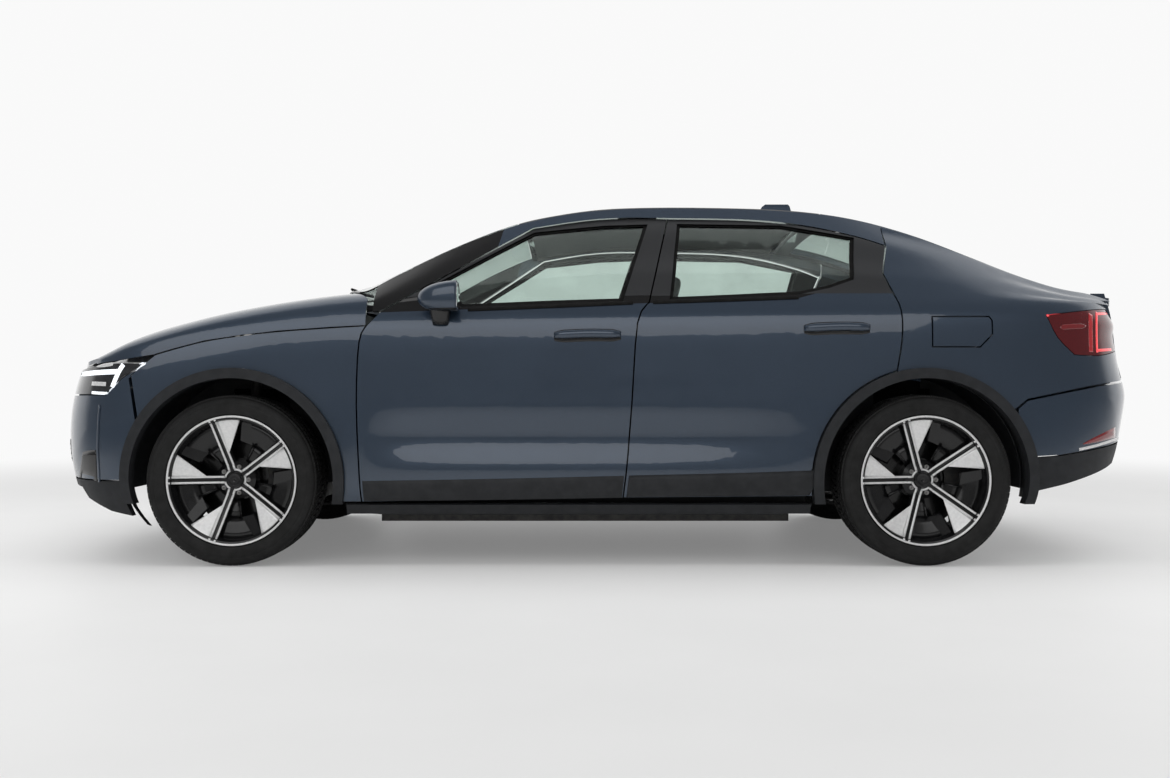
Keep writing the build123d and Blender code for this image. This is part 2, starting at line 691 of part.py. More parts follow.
# Front end
FRONT_LEVELS = (170, 250, 330, 420, 500, 600, 680, 740, 800)
front_shell = end_shell(True, FRONT_LEVELS)
VALANCE_TOP = 338
GRILLE = (430, 560, 742)
bumper_region = loop((1754, 806), (1826, 765), (1860, 741), (1833, 578), (FRONT_AXLE, TYRE_RADIUS),
                     (1760, VALANCE_TOP), (2500, VALANCE_TOP), (2500, 764), (2161, 770), (1900, 800))
lamp_prism = across(inset(head_lamp_region, half_gap), 470)
wide_lamp_prism = across(offset(head_lamp_region, half_gap, kind=Kind.INTERSECTION), 470 - half_gap)
chin_cut = loop((1500, 0), (1500, 187), (1848, 187), (1960, 208), (2073, 256), (2106, 300), (2500, 330),
                (2500, 0))
grille_box = box(2000, 2500, -GRILLE[0], GRILLE[0], GRILLE[1], GRILLE[2])
wide_grille_box = box(2000, 2500, -GRILLE[0] - half_gap, GRILLE[0] + half_gap, GRILLE[1] - half_gap,
                      GRILLE[2] + half_gap)
front_arches = across(arch_circle(FRONT_AXLE, cladding_radius + 0.5), -FAR, FAR)
front_bumper = front_shell & across(bumper_region, -FAR, FAR)
front_bumper -= wide_lamp_prism + mirrored(wide_lamp_prism) + wide_grille_box
front_bumper -= front_arches
front_bumper -= across(fender_region, -FAR, FAR)
save(front_bumper, "front_bumper")
save(front_shell & grille_box, "grille_panel")
save(both(front_shell & lamp_prism), "headlamps")
front_valance = (front_shell & box(1700, 2500, -FAR, FAR, 100, VALANCE_TOP - PANEL_GAP)) - front_arches
front_valance -= across(chin_cut, -FAR, FAR)
save(front_valance, "front_valance")

# Rear end
rear_split = [(-1600, 424), (-1820, 436), (-2000, 462), (-2400, 512)]
rear_arches = across(arch_circle(REAR_AXLE, cladding_radius + 0.5), -FAR, FAR)
rear_bumper_region = loop((-1600, 576), *[(x, z - PANEL_GAP) for x, z in BUMPER_TOP_REAR], (-2400, 732),
                          *reversed([(x, z + half_gap) for x, z in rear_split]))
rear_bumper = (rear_shell & across(rear_bumper_region, -FAR, FAR)) - rear_arches
save(rear_bumper, "rear_bumper")
rear_valance_region = loop(*[(x, z - half_gap) for x, z in rear_split], (-2400, 420), (-2105, 390),
                           (-1850, 322), (-1620, 272))
rear_valance = (rear_shell & across(rear_valance_region, -FAR, FAR)) - rear_arches
save(rear_valance, "rear_valance")
tail_lamp = side_slab(-2158, -1740, 50, 0, 24) & across(tail_lamp_region, 400)
tail_lamp -= box(-2400, -2060, 0, CORNER_HALF + half_gap, 0, FAR)
save(both(tail_lamp), "tail_lamps")
antenna = loft([Pos(x, 0, z) * Rectangle(length, width) for x, z, length, width in ANTENNA_LEVELS],
               ruled=True)
save((antenna - roof).solids().sort_by(Axis.Z)[-1], "antenna")


# Wheels, modelled at the origin with the axle along Y and the outer face towards +Y
def turned(profile):
    """Solid of revolution about the axle from (half width, radius) points."""
    face = make_face(Polyline(*[Vector(0, y, r) for y, r in profile], close=True))
    return revolve(face, Axis.Y, 360)


half_tyre = TYRE_WIDTH / 2
half_rim = RIM_WIDTH / 2
tyre = turned([(-half_rim + 14, RIM_RADIUS - 12), (-half_rim + 14, RIM_RADIUS + 1),
               (-half_rim - 2, RIM_RADIUS + 3), (-half_tyre, RIM_RADIUS + 34), (-half_tyre + 12,
                                                                                TYRE_RADIUS - 18),
               (-half_tyre + 36, TYRE_RADIUS - 2), (0, TYRE_RADIUS), (half_tyre - 36,
                                                                      TYRE_RADIUS - 2), (half_tyre - 12,
                                                                                         TYRE_RADIUS - 18),
               (half_tyre, RIM_RADIUS + 34), (half_rim + 2, RIM_RADIUS + 3), (half_rim - 14,
                                                                              RIM_RADIUS + 1),
               (half_rim - 14, RIM_RADIUS - 12)])
barrel = turned([(-half_rim, RIM_RADIUS), (-half_rim, RIM_RADIUS - 10), (-half_rim + 30, RIM_RADIUS - 26),
                 (half_rim - 30, RIM_RADIUS - 26),
                 (half_rim - 4, RIM_RADIUS - 16), (half_rim, RIM_RADIUS), (half_rim - 10, RIM_RADIUS),
                 (half_rim - 12.5, RIM_RADIUS - 13), (-half_rim + 12.5, RIM_RADIUS - 13), (-half_rim + 10,
                                                                                           RIM_RADIUS)])
HUB_FACE = 48
hub = turned([(HUB_FACE - 42, 0), (HUB_FACE - 42, 78), (HUB_FACE - 8, 78), (HUB_FACE + 6, 60),
              (HUB_FACE + 6, 34), (HUB_FACE + 14, 30), (HUB_FACE + 16, 0)])


def spoke_front(lowered):
    """Sloping front of the spokes, from hub to rim, as (depth, radius) points, lowered by some depth."""
    return Vector(0, HUB_FACE + 2 - lowered, SPOKE_ROOT - 5), Vector(0, half_rim - 12 - lowered,
                                                                     spoke_tip + 5)


def spoke_plate(outline, front, back):
    """Plate with an outline seen from the side, lying between two depths behind the spokes' sloping front."""
    face = make_face(Polyline(*[Vector(x, 0, z) for x, z in outline], close=True))
    prism = extrude(face, half_rim + 20, dir=(0, 1, 0))
    section = make_face(Polyline(*spoke_front(front), *reversed(spoke_front(back)), close=True))
    return prism & extrude(section.moved(Location((-RIM_RADIUS, 0, 0))), 2 * RIM_RADIUS, dir=(1, 0, 0))


def on_wheel(radius, angle):
    """Point of the wheel's face at a radius and an angle forward of straight up."""
    return radius * math.sin(math.radians(angle)), radius * math.cos(math.radians(angle))


spoke_tip = RIM_RADIUS - 17
blade_end = -BLADE_SWEEP
spoke = spoke_plate([(-SPOKE_HALF, SPOKE_ROOT), (SPOKE_HALF, SPOKE_ROOT), (SPOKE_HALF, spoke_tip),
                     on_wheel(spoke_tip, blade_end / 2), on_wheel(spoke_tip, blade_end),
                     (-SPOKE_HALF, BLADE_START)], 0, SPOKE_DEPTH)
spoke -= spoke_plate([(-GROOVE_WIDTH / 2, SPOKE_ROOT + 8), (GROOVE_WIDTH / 2, SPOKE_ROOT + 8),
                      (GROOVE_WIDTH / 2, spoke_tip - 8), (-GROOVE_WIDTH / 2,
                                                          spoke_tip - 8)], -20, GROOVE_DEPTH)
panel_span = (blade_end, blade_end - PANEL_SWEEP)
spoke += spoke_plate([on_wheel(PANEL_START, panel_span[0]), on_wheel(spoke_tip, panel_span[0]),
                      on_wheel(spoke_tip, sum(panel_span) / 2), on_wheel(spoke_tip, panel_span[1]),
                      on_wheel(PANEL_START, panel_span[1])], PANEL_DROP, PANEL_DROP + PANEL_THICKNESS)
rim = barrel + hub
for k in range(SPOKES):
    rim += spoke.rotate(Axis.Y, 360 / SPOKES * k + SPOKE_PHASE)
for k in range(SPOKES):
    x, z = on_wheel(BOLT_CIRCLE / 2, 360 / SPOKES * (k + 0.5) + SPOKE_PHASE)
    rim -= rod((x, -80, z), (x, 150, z), BOLT_HOLE_RADIUS)
disc = turned([(-62, 0), (-62, 70), (-62, DISC_RADIUS), (-34, DISC_RADIUS), (-34, 88), (4, 84), (4, 0)])
wheel = [rim, disc]
for name, x in (("front", FRONT_AXLE), ("rear", REAR_AXLE)):
    for side, sign in (("left", 1), ("right", -1)):
        place = Location((x, WHEEL_Y, TYRE_RADIUS))
        pieces = [tyre.moved(place)], [shape.moved(place) for shape in wheel]
        for kind, shapes in zip(("tyre", "wheel"), pieces):
            sided = [shape if sign > 0 else mirrored(shape) for shape in shapes]
            solids = [solid for shape in sided for solid in shape.solids()]
            save(Compound(children=solids), f"{kind}_{name}_{side}")


# Running gear
def caliper(axle, behind):
    """Brake caliper round the rim of the disc, clear of it on both faces."""
    block = turned([(-74, 112), (-74, 200), (-22, 200), (-22, 112)]) - turned([(-67, 80), (-67, 178),
                                                                               (-29, 178), (-29, 80)])
    wedge = make_face(Polyline(Vector(0, -90, 0), Vector(behind * 260, -90, 150),
                               Vector(behind * 260, -90, -70), close=True))
    return (block & extrude(wedge, 90, dir=(0, 1, 0))).moved(Location((axle, WHEEL_Y, TYRE_RADIUS)))


disc_back = WHEEL_Y - 62
knuckle = rod((FRONT_AXLE, KINGPIN_Y, 226), (FRONT_AXLE, KINGPIN_Y, 520), 16)
knuckle += rod((FRONT_AXLE, KINGPIN_Y, TYRE_RADIUS), (FRONT_AXLE, disc_back - 1, TYRE_RADIUS), 44)
knuckle += caliper(FRONT_AXLE, -1)
knuckle += box(FRONT_AXLE - 150, FRONT_AXLE, disc_back - 30, disc_back - 10, TYRE_RADIUS - 18,
               TYRE_RADIUS + 30)
knuckle += box(FRONT_AXLE - 150, FRONT_AXLE - 124, disc_back - 30, disc_back - 6, TYRE_RADIUS - 18,
               TYRE_RADIUS + 30)
save(knuckle, "knuckle_front_left")
save(mirrored(knuckle), "knuckle_front_right")

front_arm = rod((FRONT_AXLE, 300, 232), (FRONT_AXLE, 630, 208), 16)
front_strut = rod((FRONT_AXLE, KINGPIN_Y - 12, 530), (FRONT_AXLE - 30, 590, 860), 20)
front_cradle = box(FRONT_AXLE - 190, FRONT_AXLE + 190, -320, 320, 200, 262)
tower = box(FRONT_AXLE - 110, FRONT_AXLE + 60, 540, 640, 850, 880)
save(Compound(children=[*(front_cradle + front_arm + mirrored(front_arm)).solids(),
                        *both(front_strut + tower).solids()]), "front_axle")

rear_carrier = rod((REAR_AXLE, 590, TYRE_RADIUS), (REAR_AXLE, disc_back - 1, TYRE_RADIUS), 46)
rear_carrier += box(REAR_AXLE - 60, REAR_AXLE + 60, 590, 640, 220, 470)
rear_carrier += caliper(REAR_AXLE, -1)
rear_carrier += box(REAR_AXLE - 150, REAR_AXLE, disc_back - 30, disc_back - 10, TYRE_RADIUS - 18,
                    TYRE_RADIUS + 30)
rear_carrier += box(REAR_AXLE - 150, REAR_AXLE - 124, disc_back - 30, disc_back - 6, TYRE_RADIUS - 18,
                    TYRE_RADIUS + 30)
rear_arm = rod((REAR_AXLE, 300, 244), (REAR_AXLE, 600, 236), 20)
rear_strut = rod((REAR_AXLE, 615, 460), (REAR_AXLE, 600, 640), 24)
rear_cradle = box(REAR_AXLE - 210, REAR_AXLE + 210, -330, 330, 214, 290)
rear_side = rear_carrier + rear_arm + rear_strut
save(rear_cradle + rear_side + mirrored(rear_side), "rear_axle")

drive_unit = box(REAR_AXLE - 200, REAR_AXLE + 200, -280, 280, 292, 440)
save(drive_unit, "drive_unit")
BATTERY = (-790, 900, 655, 151, 262)
battery = box(BATTERY[0], BATTERY[1], -BATTERY[2], BATTERY[2], BATTERY[3], BATTERY[4])
save(battery, "battery_pack")
RISER = (-1010, -868, -540, 540, 264, 470)
floor_pan = box(-868, 970, -660, 660, 264, 284)
floor_pan += box(*RISER) - box(-990, -888, -520, 520, 200, 450)
save(floor_pan, "floor_pan")
firewall = box(974, 994, -655, 655, 286, 1010)
save(firewall, "firewall")
bay_cover = box(1020, 2090, -440, 440, 690, 715)
save(bay_cover, "front_bay_cover")
cargo_floor = box(-2080, -1012, -540, 540, 560, 585)
cargo_floor += box(-2080, -1740, -540, 540, 440, 560) - box(-2060, -1760, -520, 520, 400, 545)
save(cargo_floor, "cargo_floor")

# Interior
WHEEL_CENTRE = (560, 372, 905)
COLUMN_END = 135
COLUMN_GAP = 1
column_place = Location(Plane(origin=WHEEL_CENTRE, x_dir=(0, 1, 0), z_dir=(-0.9, 0, 0.436)))
dash = box(700, 970, -640, 640, 700, 930) + box(830, 970, -640, 640, 560, 700)
dash = fillet(dash.edges().filter_by(Axis.Y), 40)
dash += (Pos(0, 0, -COLUMN_END - COLUMN_GAP - 40) * Cylinder(34, 80)).moved(column_place)
console = fillet(box(-160, 690, -110, 110, 290, 560).edges().filter_by(Axis.X), 20)
save(Compound(children=[*dash.solids(), *console.solids()]), "dashboard")


def seat(x, width, base_z):
    """Seat with a cushion, leaning back and head restraint, centred on the car's middle."""
    cushion = fillet(box(x - 60, x + 440, -width / 2, width / 2, base_z, base_z + 190).edges(), 45)
    back = fillet(box(-70, 60, -width / 2, width / 2, 0, 620).edges(), 45)
    head = fillet(box(-45, 45, -130, 130, 640, 800).edges(), 30)
    posts = rod((0, -60, 590), (0, -60, 660), 7) + rod((0, 60, 590), (0, 60, 660), 7)
    upright = (back + head + posts).rotate(Axis.Y, -22).moved(Location((x - 40, 0, base_z + 120)))
    return cushion + upright


front_seat = seat(20, 500, 330) + box(20, 380, -200, 200, 290, 340)
save(Compound(children=[*front_seat.moved(Location((0, 372, 0))).solids(),
                        *front_seat.moved(Location((0, -372, 0))).solids()]), "front_seats")
rear_cushion = fillet(box(-860, -340, -620, 620, 290, 500).edges(), 45)
rear_back = fillet(box(-75, 60, -535, 535, 0, 620).edges(), 45).rotate(Axis.Y, -24)
rear_seat = rear_cushion + rear_back.moved(Location((-860, 0, 480)))
save(rear_seat - box(*[side + reach for side, reach in zip(RISER, (-3, 1, -3, 3, -60, 3))]), "rear_seat")
steering = Torus(178, 14) + Cylinder(60, 26) + Box(330, 46, 16) + Pos(0, -90, 0) * Box(46, 160, 16)
steering += Pos(0, 0, -COLUMN_END / 2) * Cylinder(30, COLUMN_END)
save(steering.moved(column_place), "steering_wheel")
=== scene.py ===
"""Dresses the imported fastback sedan: finishes, tread, rims, lamps, trim, cabin, and a pale studio."""

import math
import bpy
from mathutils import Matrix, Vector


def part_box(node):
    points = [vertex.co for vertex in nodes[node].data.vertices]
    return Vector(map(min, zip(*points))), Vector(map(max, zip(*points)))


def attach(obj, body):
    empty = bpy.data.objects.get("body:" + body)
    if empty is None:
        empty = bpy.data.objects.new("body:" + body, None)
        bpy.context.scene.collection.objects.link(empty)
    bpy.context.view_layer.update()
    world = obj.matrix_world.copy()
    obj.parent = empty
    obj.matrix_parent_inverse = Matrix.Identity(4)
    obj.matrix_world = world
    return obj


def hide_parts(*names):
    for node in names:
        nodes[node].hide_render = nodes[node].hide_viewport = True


bl_info = {
    "name": "Fastback Sedan Dressing",
    "version": (1, 0, 0),
    "blender": (4, 5, 0),
    "location": "View3D > Sidebar > Sedan",
    "description": "Builds the visible finish of the sedan round its packed frame",
    "category": "Object",
}

import bmesh
import bpy
from mathutils import Matrix, Vector
from mathutils.bvhtree import BVHTree

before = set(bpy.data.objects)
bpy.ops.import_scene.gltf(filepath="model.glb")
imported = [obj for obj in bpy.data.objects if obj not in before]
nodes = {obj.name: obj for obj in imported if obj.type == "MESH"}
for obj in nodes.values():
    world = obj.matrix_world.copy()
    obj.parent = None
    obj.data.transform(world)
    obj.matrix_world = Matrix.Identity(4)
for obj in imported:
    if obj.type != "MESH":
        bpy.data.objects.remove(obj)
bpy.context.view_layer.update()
SIDES = (("left", 1), ("right", -1))
ENDS = ("front", "rear")
CORNERS = tuple(f"{end}_{side}" for end in ENDS for side, _ in SIDES)

# Camera of the photograph: size and focal length in pixels, and where it stood in metres
PHOTO_WIDTH, PHOTO_HEIGHT, PHOTO_FOCAL = 1170, 778, 1138
PHOTO_EYE = Vector((0.0555, 5.385, 0.699))


# Sizes and colours that a user would change

class SedanPaint(bpy.types.PropertyGroup):
    """Colours of the body and its trim."""
    body: bpy.props.FloatVectorProperty(
        name="Body", description="Metallic body colour", subtype="COLOR", size=3,
        default=(0.021, 0.036, 0.060))
    flake: bpy.props.FloatVectorProperty(
        name="Flake", description="Colour of the metal flakes", subtype="COLOR", size=3,
        default=(0.056, 0.088, 0.138))
    plastic: bpy.props.FloatVectorProperty(
        name="Cladding", description="Grained plastic of sills and arches", subtype="COLOR", size=3,
        default=(0.016, 0.017, 0.019))
    window: bpy.props.FloatVectorProperty(
        name="Window", description="Tint of the side glass", subtype="COLOR", size=3,
        default=(0.70, 0.79, 0.75))
    lamp_red: bpy.props.FloatVectorProperty(
        name="Tail lamp", description="Red of the rear lenses", subtype="COLOR", size=3,
        default=(0.07, 0.003, 0.005))


class SedanSizes(bpy.types.PropertyGroup):
    """Sizes of the added details."""
    tread_blocks: bpy.props.IntProperty(
        name="Tread blocks", description="Blocks round each row of a tyre", default=84, min=20, max=120)
    tread_depth: bpy.props.FloatProperty(
        name="Tread depth", description="Depth of the tread grooves", default=0.0064, unit="LENGTH")
    trim_proud: bpy.props.FloatProperty(
        name="Trim height", description="How far window trim stands off the skin", default=0.002,
        unit="LENGTH")


class SedanStage(bpy.types.PropertyGroup):
    """Camera and studio."""
    eye: bpy.props.FloatVectorProperty(
        name="Camera place", description="Where the camera stands", subtype="TRANSLATION", size=3,
        default=tuple(PHOTO_EYE))
    focal: bpy.props.FloatProperty(name="Lens", description="Focal length in millimetres", default=35.02)
    floor: bpy.props.FloatVectorProperty(
        name="Floor", description="Floor colour", subtype="COLOR", size=3, default=(0.69, 0.69, 0.687))


# Mesh helpers

MIRROR = Matrix.Scale(-1, 4, Vector((0, 1, 0)))
EDGE_WIDTH, EDGE_ANGLE = 0.0015, math.radians(35)
FAR_OFF, CABIN_HEIGHT, MISS_REACH = 4, 1.1, 2


def finish_piece(name, mesh, body, slot, material):
    """Link a mesh as a piece that rides on a body."""
    piece = bpy.data.objects.new(name, mesh)
    bpy.context.scene.collection.objects.link(piece)
    piece.data.materials.clear()
    piece.data.materials.append(material)
    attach(piece, body)
    return piece


def mesh_from(verts, faces, smooth=True):
    """Closed mesh with outward normals from vertices and faces."""
    bm = bmesh.new()
    made = [bm.verts.new(v) for v in verts]
    for face in faces:
        bm.faces.new([made[k] for k in face])
    bmesh.ops.remove_doubles(bm, verts=bm.verts, dist=1e-6)
    bmesh.ops.recalc_face_normals(bm, faces=bm.faces)
    for face in bm.faces:
        face.smooth = smooth
    mesh = bpy.data.meshes.new("piece")
    bm.to_mesh(mesh)
    bm.free()
    return mesh


def joined(meshes):
    """One mesh from several, each left in its place."""
    bm = bmesh.new()
    for mesh in meshes:
        bm.from_mesh(mesh)
    out = bpy.data.meshes.new("piece")
    bm.to_mesh(out)
    bm.free()
    return out


def placed(mesh, matrix):
    """Copy of a mesh moved by a matrix, with its faces kept outwards under a mirror."""
    out = mesh.copy()
    out.transform(matrix)
    if matrix.determinant() < 0:
        out.flip_normals()
    return out


def on_side(mesh, sign):
    """The mesh itself for the left, mirrored for the right."""
    return mesh.copy() if sign > 0 else placed(mesh, MIRROR)


def rounded(piece):
    """Soften the edges of a piece."""
    bevel = piece.modifiers.new("Soft edges", "BEVEL")
    bevel.width, bevel.segments = EDGE_WIDTH, 2
    bevel.limit_method, bevel.angle_limit = "ANGLE", EDGE_ANGLE


class Skin:
    """Outer surface of some CAD nodes, for setting pieces on it."""

    def __init__(self, *names):
        verts, faces = [], []
        for name in names:
            mesh = nodes[name].data
            start = len(verts)
            verts += [v.co.copy() for v in mesh.vertices]
            faces += [[start + k for k in p.vertices] for p in mesh.polygons]
        self.tree = BVHTree.FromPolygons(verts, faces)

    def _cast(self, origin, direction):
        """First point that a ray meets, or the nearest one where it misses, with the normal towards it."""
        origin, direction = Vector(origin), Vector(direction)
        place, normal, _, _ = self.tree.ray_cast(origin, direction)
        if place is None:
            place, normal, _, _ = self.tree.find_nearest(origin + direction * MISS_REACH)
        return place, -normal if normal.dot(direction) > 0 else normal

    def side(self, x, z):
        """Point and normal on the left side."""
        return self._cast((x, 3, z), (0, -1, 0))

    def nose(self, y, z):
        """Point and normal on the front."""
        return self._cast((FAR_OFF, y, z), (-1, 0, 0))

    def tail(self, y, z):
        """Point and normal on the back."""
        return self._cast((-FAR_OFF, y, z), (1, 0, 0))

    def above(self, x, y):
        """Point and normal seen from above."""
        return self._cast((x, y, 3), (0, 0, -1))

    def ceiling(self, x, y):
        """Point and normal seen from the cabin, looking up."""
        return self._cast((x, y, CABIN_HEIGHT), (0, 0, 1))

    def seen(self, column, row):
        """Point and normal that a pixel of the photograph shows."""
        across, up = (PHOTO_WIDTH / 2 - column) / PHOTO_FOCAL, (PHOTO_HEIGHT / 2 - row) / PHOTO_FOCAL
        return self._cast(PHOTO_EYE, Vector((across, -1, up)).normalized())


def flat(points):
    """Plane points as points in space."""
    return [(*p, 0) for p in points]


def crosswise(reach, height):
    """Three points across the car at one height."""
    return [(-reach, height), (0, height), (reach, height)]


def turns(steps):
    """Angles of equal steps round a circle."""
    return [2 * math.pi * k / steps for k in range(steps)]


def between(points, count):
    """Evenly spaced points along a polyline."""
    points = [Vector(p) for p in points]
    spans = [(b - a).length for a, b in zip(points, points[1:])]
    total = sum(spans)
    out = []
    for k in range(count):
        want = total * k / (count - 1)
        i = 0
        while i < len(spans) - 1 and want > spans[i]:
            want -= spans[i]
            i += 1
        t = min(want / spans[i], 1) if spans[i] else 0
        out.append(points[i].lerp(points[i + 1], t))
    return out


def eased(points, count):
    """Points along a smooth curve through the given points."""
    points = [Vector(p) for p in points]
    out = []
    last = len(points) - 1
    for k in range(count):
        s = last * k / (count - 1)
        i = min(int(s), last - 1)
        t = s - i
        o, p = points[max(i - 1, 0)], points[i]
        q, r = points[i + 1], points[min(i + 2, last)]
        curve = 2 * p + (q - o) * t + (2 * o - 5 * p + 4 * q - r) * t ** 2 + (3 * p - o - 3 * q + r) * t ** 3
        out.append(0.5 * curve)
    return out


def plate(rows, columns, spot):
    """Closed plate between the outer and inner points that a function gives for each row and column."""
    pairs = [spot(i, k) for i in range(rows) for k in range(columns)]
    base = len(pairs)
    faces = []
    for i in range(rows - 1):
        for k in range(columns - 1):
            a, b = i * columns + k, i * columns + k + 1
            c, d = (i + 1) * columns + k + 1, (i + 1) * columns + k
            faces.append((a, b, c, d))
            faces.append((base + d, base + c, base + b, base + a))
    rim = list(range(columns))
    rim += [i * columns + columns - 1 for i in range(1, rows)]
    rim += [(rows - 1) * columns + k for k in range(columns - 2, -1, -1)]
    rim += [i * columns for i in range(rows - 2, 0, -1)]
    for a, b in zip(rim, rim[1:] + rim[:1]):
        faces.append((a, b, base + b, base + a))
    return mesh_from([p[0] for p in pairs] + [p[1] for p in pairs], faces)


def sheet_on(cast, low, high, rows, columns, proud, sink):
    """Plate lying on a surface between two chains of plane points."""
    low, high = eased(flat(low), columns), eased(flat(high), columns)

    def spot(i, k):
        u, v = low[k].lerp(high[k], i / rows)[:2]
        place, normal = cast(u, v)
        return place + normal * proud, place - normal * sink

    return plate(rows + 1, columns, spot)


def loft(rings, closed=False):
    """Closed mesh through rings of equal count, capped at both ends or joined end to end."""
    count, last = len(rings[0]), len(rings) - 1
    faces = []
    for i in range(last + 1 if closed else last):
        a, b = i * count, (i + 1) % len(rings) * count
        faces += [(a + k, a + (k + 1) % count, b + (k + 1) % count, b + k) for k in range(count)]
    if not closed:
        faces += [tuple(range(count)), tuple(range((last + 1) * count - 1, last * count - 1, -1))]
    return mesh_from([p for ring in rings for p in ring], faces)


def heading(path, i, closed=False):
    """Direction of a path at one of its points."""
    count = len(path)
    before = path[(i - 1) % count] if closed or i else path[i]
    after = path[(i + 1) % count] if closed or i < count - 1 else path[i]
    return (after - before).normalized()


def strip_on(path, normals, width, proud, sink, closed=False, taper=0.0):
    """Bar of rounded section along a path on a surface."""
    section = ((-0.5, -sink), (-0.5, proud * 0.55), (-0.36, proud * 0.92), (0, proud), (0.36, proud * 0.92),
               (0.5, proud * 0.55), (0.5, -sink))
    rings, last = [], len(path) - 1
    for i, (p, n) in enumerate(zip(path, normals)):
        across = n.cross(heading(path, i, closed)).normalized()
        wide = width * (1 - taper * max(0, 1 - 6 * min(i, last - i) / last))
        rings.append([p + across * (wide * u) + n * h for u, h in section])
    return loft(rings, closed)


def strip_along(cast, points, count, width, proud, sink, taper=0.0, straight=False):
    """Bar along a chain of plane points laid on a surface."""
    chain = (between if straight else eased)(flat(points), count)
    hits = [cast(p.x, p.y) for p in chain]
    return strip_on([h[0] for h in hits], [h[1] for h in hits], width, proud, sink, taper=taper)


def tube(path, radius, sides=8):
    """Round bar along points."""
    rings = []
    for i, p in enumerate(path):
        along = heading(path, i)
        a = along.cross(Vector((0, 0, 1))).normalized()
        b = a.cross(along).normalized()
        rings.append([p + a * (radius * math.cos(t)) + b * (radius * math.sin(t)) for t in turns(sides)])
    return loft(rings)


def turned(profile, steps=96):
    """Closed ring or disc turned about the Y axis from (y, radius) points round its section."""
    rings = [[Vector((r * math.sin(t), y, r * math.cos(t))) for y, r in profile] for t in turns(steps)]
    return loft(rings, closed=True)


# Repeats made by Geometry Nodes

def ring_tree():
    """Node tree that sets copies of its input in a ring about Z, facing outwards."""
    tree = bpy.data.node_groups.new("Ring of copies", "GeometryNodeTree")
    for name, kind in (("Geometry", "Geometry"), ("Count", "Int"), ("Radius", "Float"),
                       ("Material", "Material")):
        tree.interface.new_socket(name, in_out="INPUT", socket_type=f"NodeSocket{kind}")
    tree.interface.new_socket("Geometry", in_out="OUTPUT", socket_type="NodeSocketGeometry")
    add, link = tree.nodes.new, tree.links.new
    given, out = add("NodeGroupInput"), add("NodeGroupOutput")
    circle, place = add("GeometryNodeMeshCircle"), add("GeometryNodeInputPosition")
    turn, copies = add("FunctionNodeAlignRotationToVector"), add("GeometryNodeInstanceOnPoints")
    turn.axis = "X"
    real, paint = add("GeometryNodeRealizeInstances"), add("GeometryNodeSetMaterial")
    link(given.outputs["Count"], circle.inputs["Vertices"])
    link(given.outputs["Radius"], circle.inputs["Radius"])
    link(circle.outputs["Mesh"], copies.inputs["Points"])
    link(place.outputs["Position"], turn.inputs["Vector"])
    link(turn.outputs["Rotation"], copies.inputs["Rotation"])
    link(given.outputs["Geometry"], copies.inputs["Instance"])
    link(copies.outputs["Instances"], real.inputs["Geometry"])
    link(real.outputs["Geometry"], paint.inputs["Geometry"])
    link(given.outputs["Material"], paint.inputs["Material"])
    link(paint.outputs["Geometry"], out.inputs["Geometry"])
    return tree


def repeated(mesh, tree, count, radius, material):
    """Plain mesh of the ring that the node tree makes from a mesh."""
    maker = bpy.data.objects.new("maker", mesh)
    bpy.context.scene.collection.objects.link(maker)
    modifier = maker.modifiers.new("Repeat", "NODES")
    modifier.node_group = tree
    names = {item.name: item.identifier for item in tree.interface.items_tree if item.in_out == "INPUT"}
    for name, value in (("Count", count), ("Radius", radius), ("Material", material)):
        modifier[names[name]] = value
    evaluated = maker.evaluated_get(bpy.context.evaluated_depsgraph_get())
    out = bpy.data.meshes.new_from_object(evaluated)
    maker.modifiers.remove(modifier)
    bpy.data.objects.remove(maker)
    return out


# Finishes

FINISH = {}
BLACK = (0.004, 0.004, 0.0045)
COAT_ROUGHNESS = 0.03
GLASS_IOR = 1.12


def shader(name):
    """New node material: its tree, shader and a point in the object's own frame."""
    material = bpy.data.materials.new(name)
    material.use_nodes = True
    tree = material.node_tree
    return material, tree, tree.nodes["Principled BSDF"], tree.nodes.new("ShaderNodeTexCoord")


def noise(tree, coords, scale, detail=3.0):
    """Noise on the object's own coordinates."""
    node = tree.nodes.new("ShaderNodeTexNoise")
    node.inputs["Scale"].default_value = scale
    node.inputs["Detail"].default_value = detail
    tree.links.new(coords.outputs["Object"], node.inputs["Vector"])
    return node.outputs["Fac"]


def ramp(tree, source, low, high, start=0.35, end=0.65):
    """Colours or greys spread over a value."""
    node = tree.nodes.new("ShaderNodeValToRGB")
    for k, (place, tone) in enumerate(((start, low), (end, high))):
        node.color_ramp.elements[k].position = place
        node.color_ramp.elements[k].color = (tone, tone, tone, 1) if isinstance(tone, float) else (*tone, 1)
    tree.links.new(source, node.inputs["Fac"])
    return node.outputs["Color"]


def bumped(tree, bsdf, source, strength, distance):
    """Fine relief from a value."""
    node = tree.nodes.new("ShaderNodeBump")
    node.inputs["Strength"].default_value = strength
    node.inputs["Distance"].default_value = distance
    tree.links.new(source, node.inputs["Height"])
    tree.links.new(node.outputs["Normal"], bsdf.inputs["Normal"])


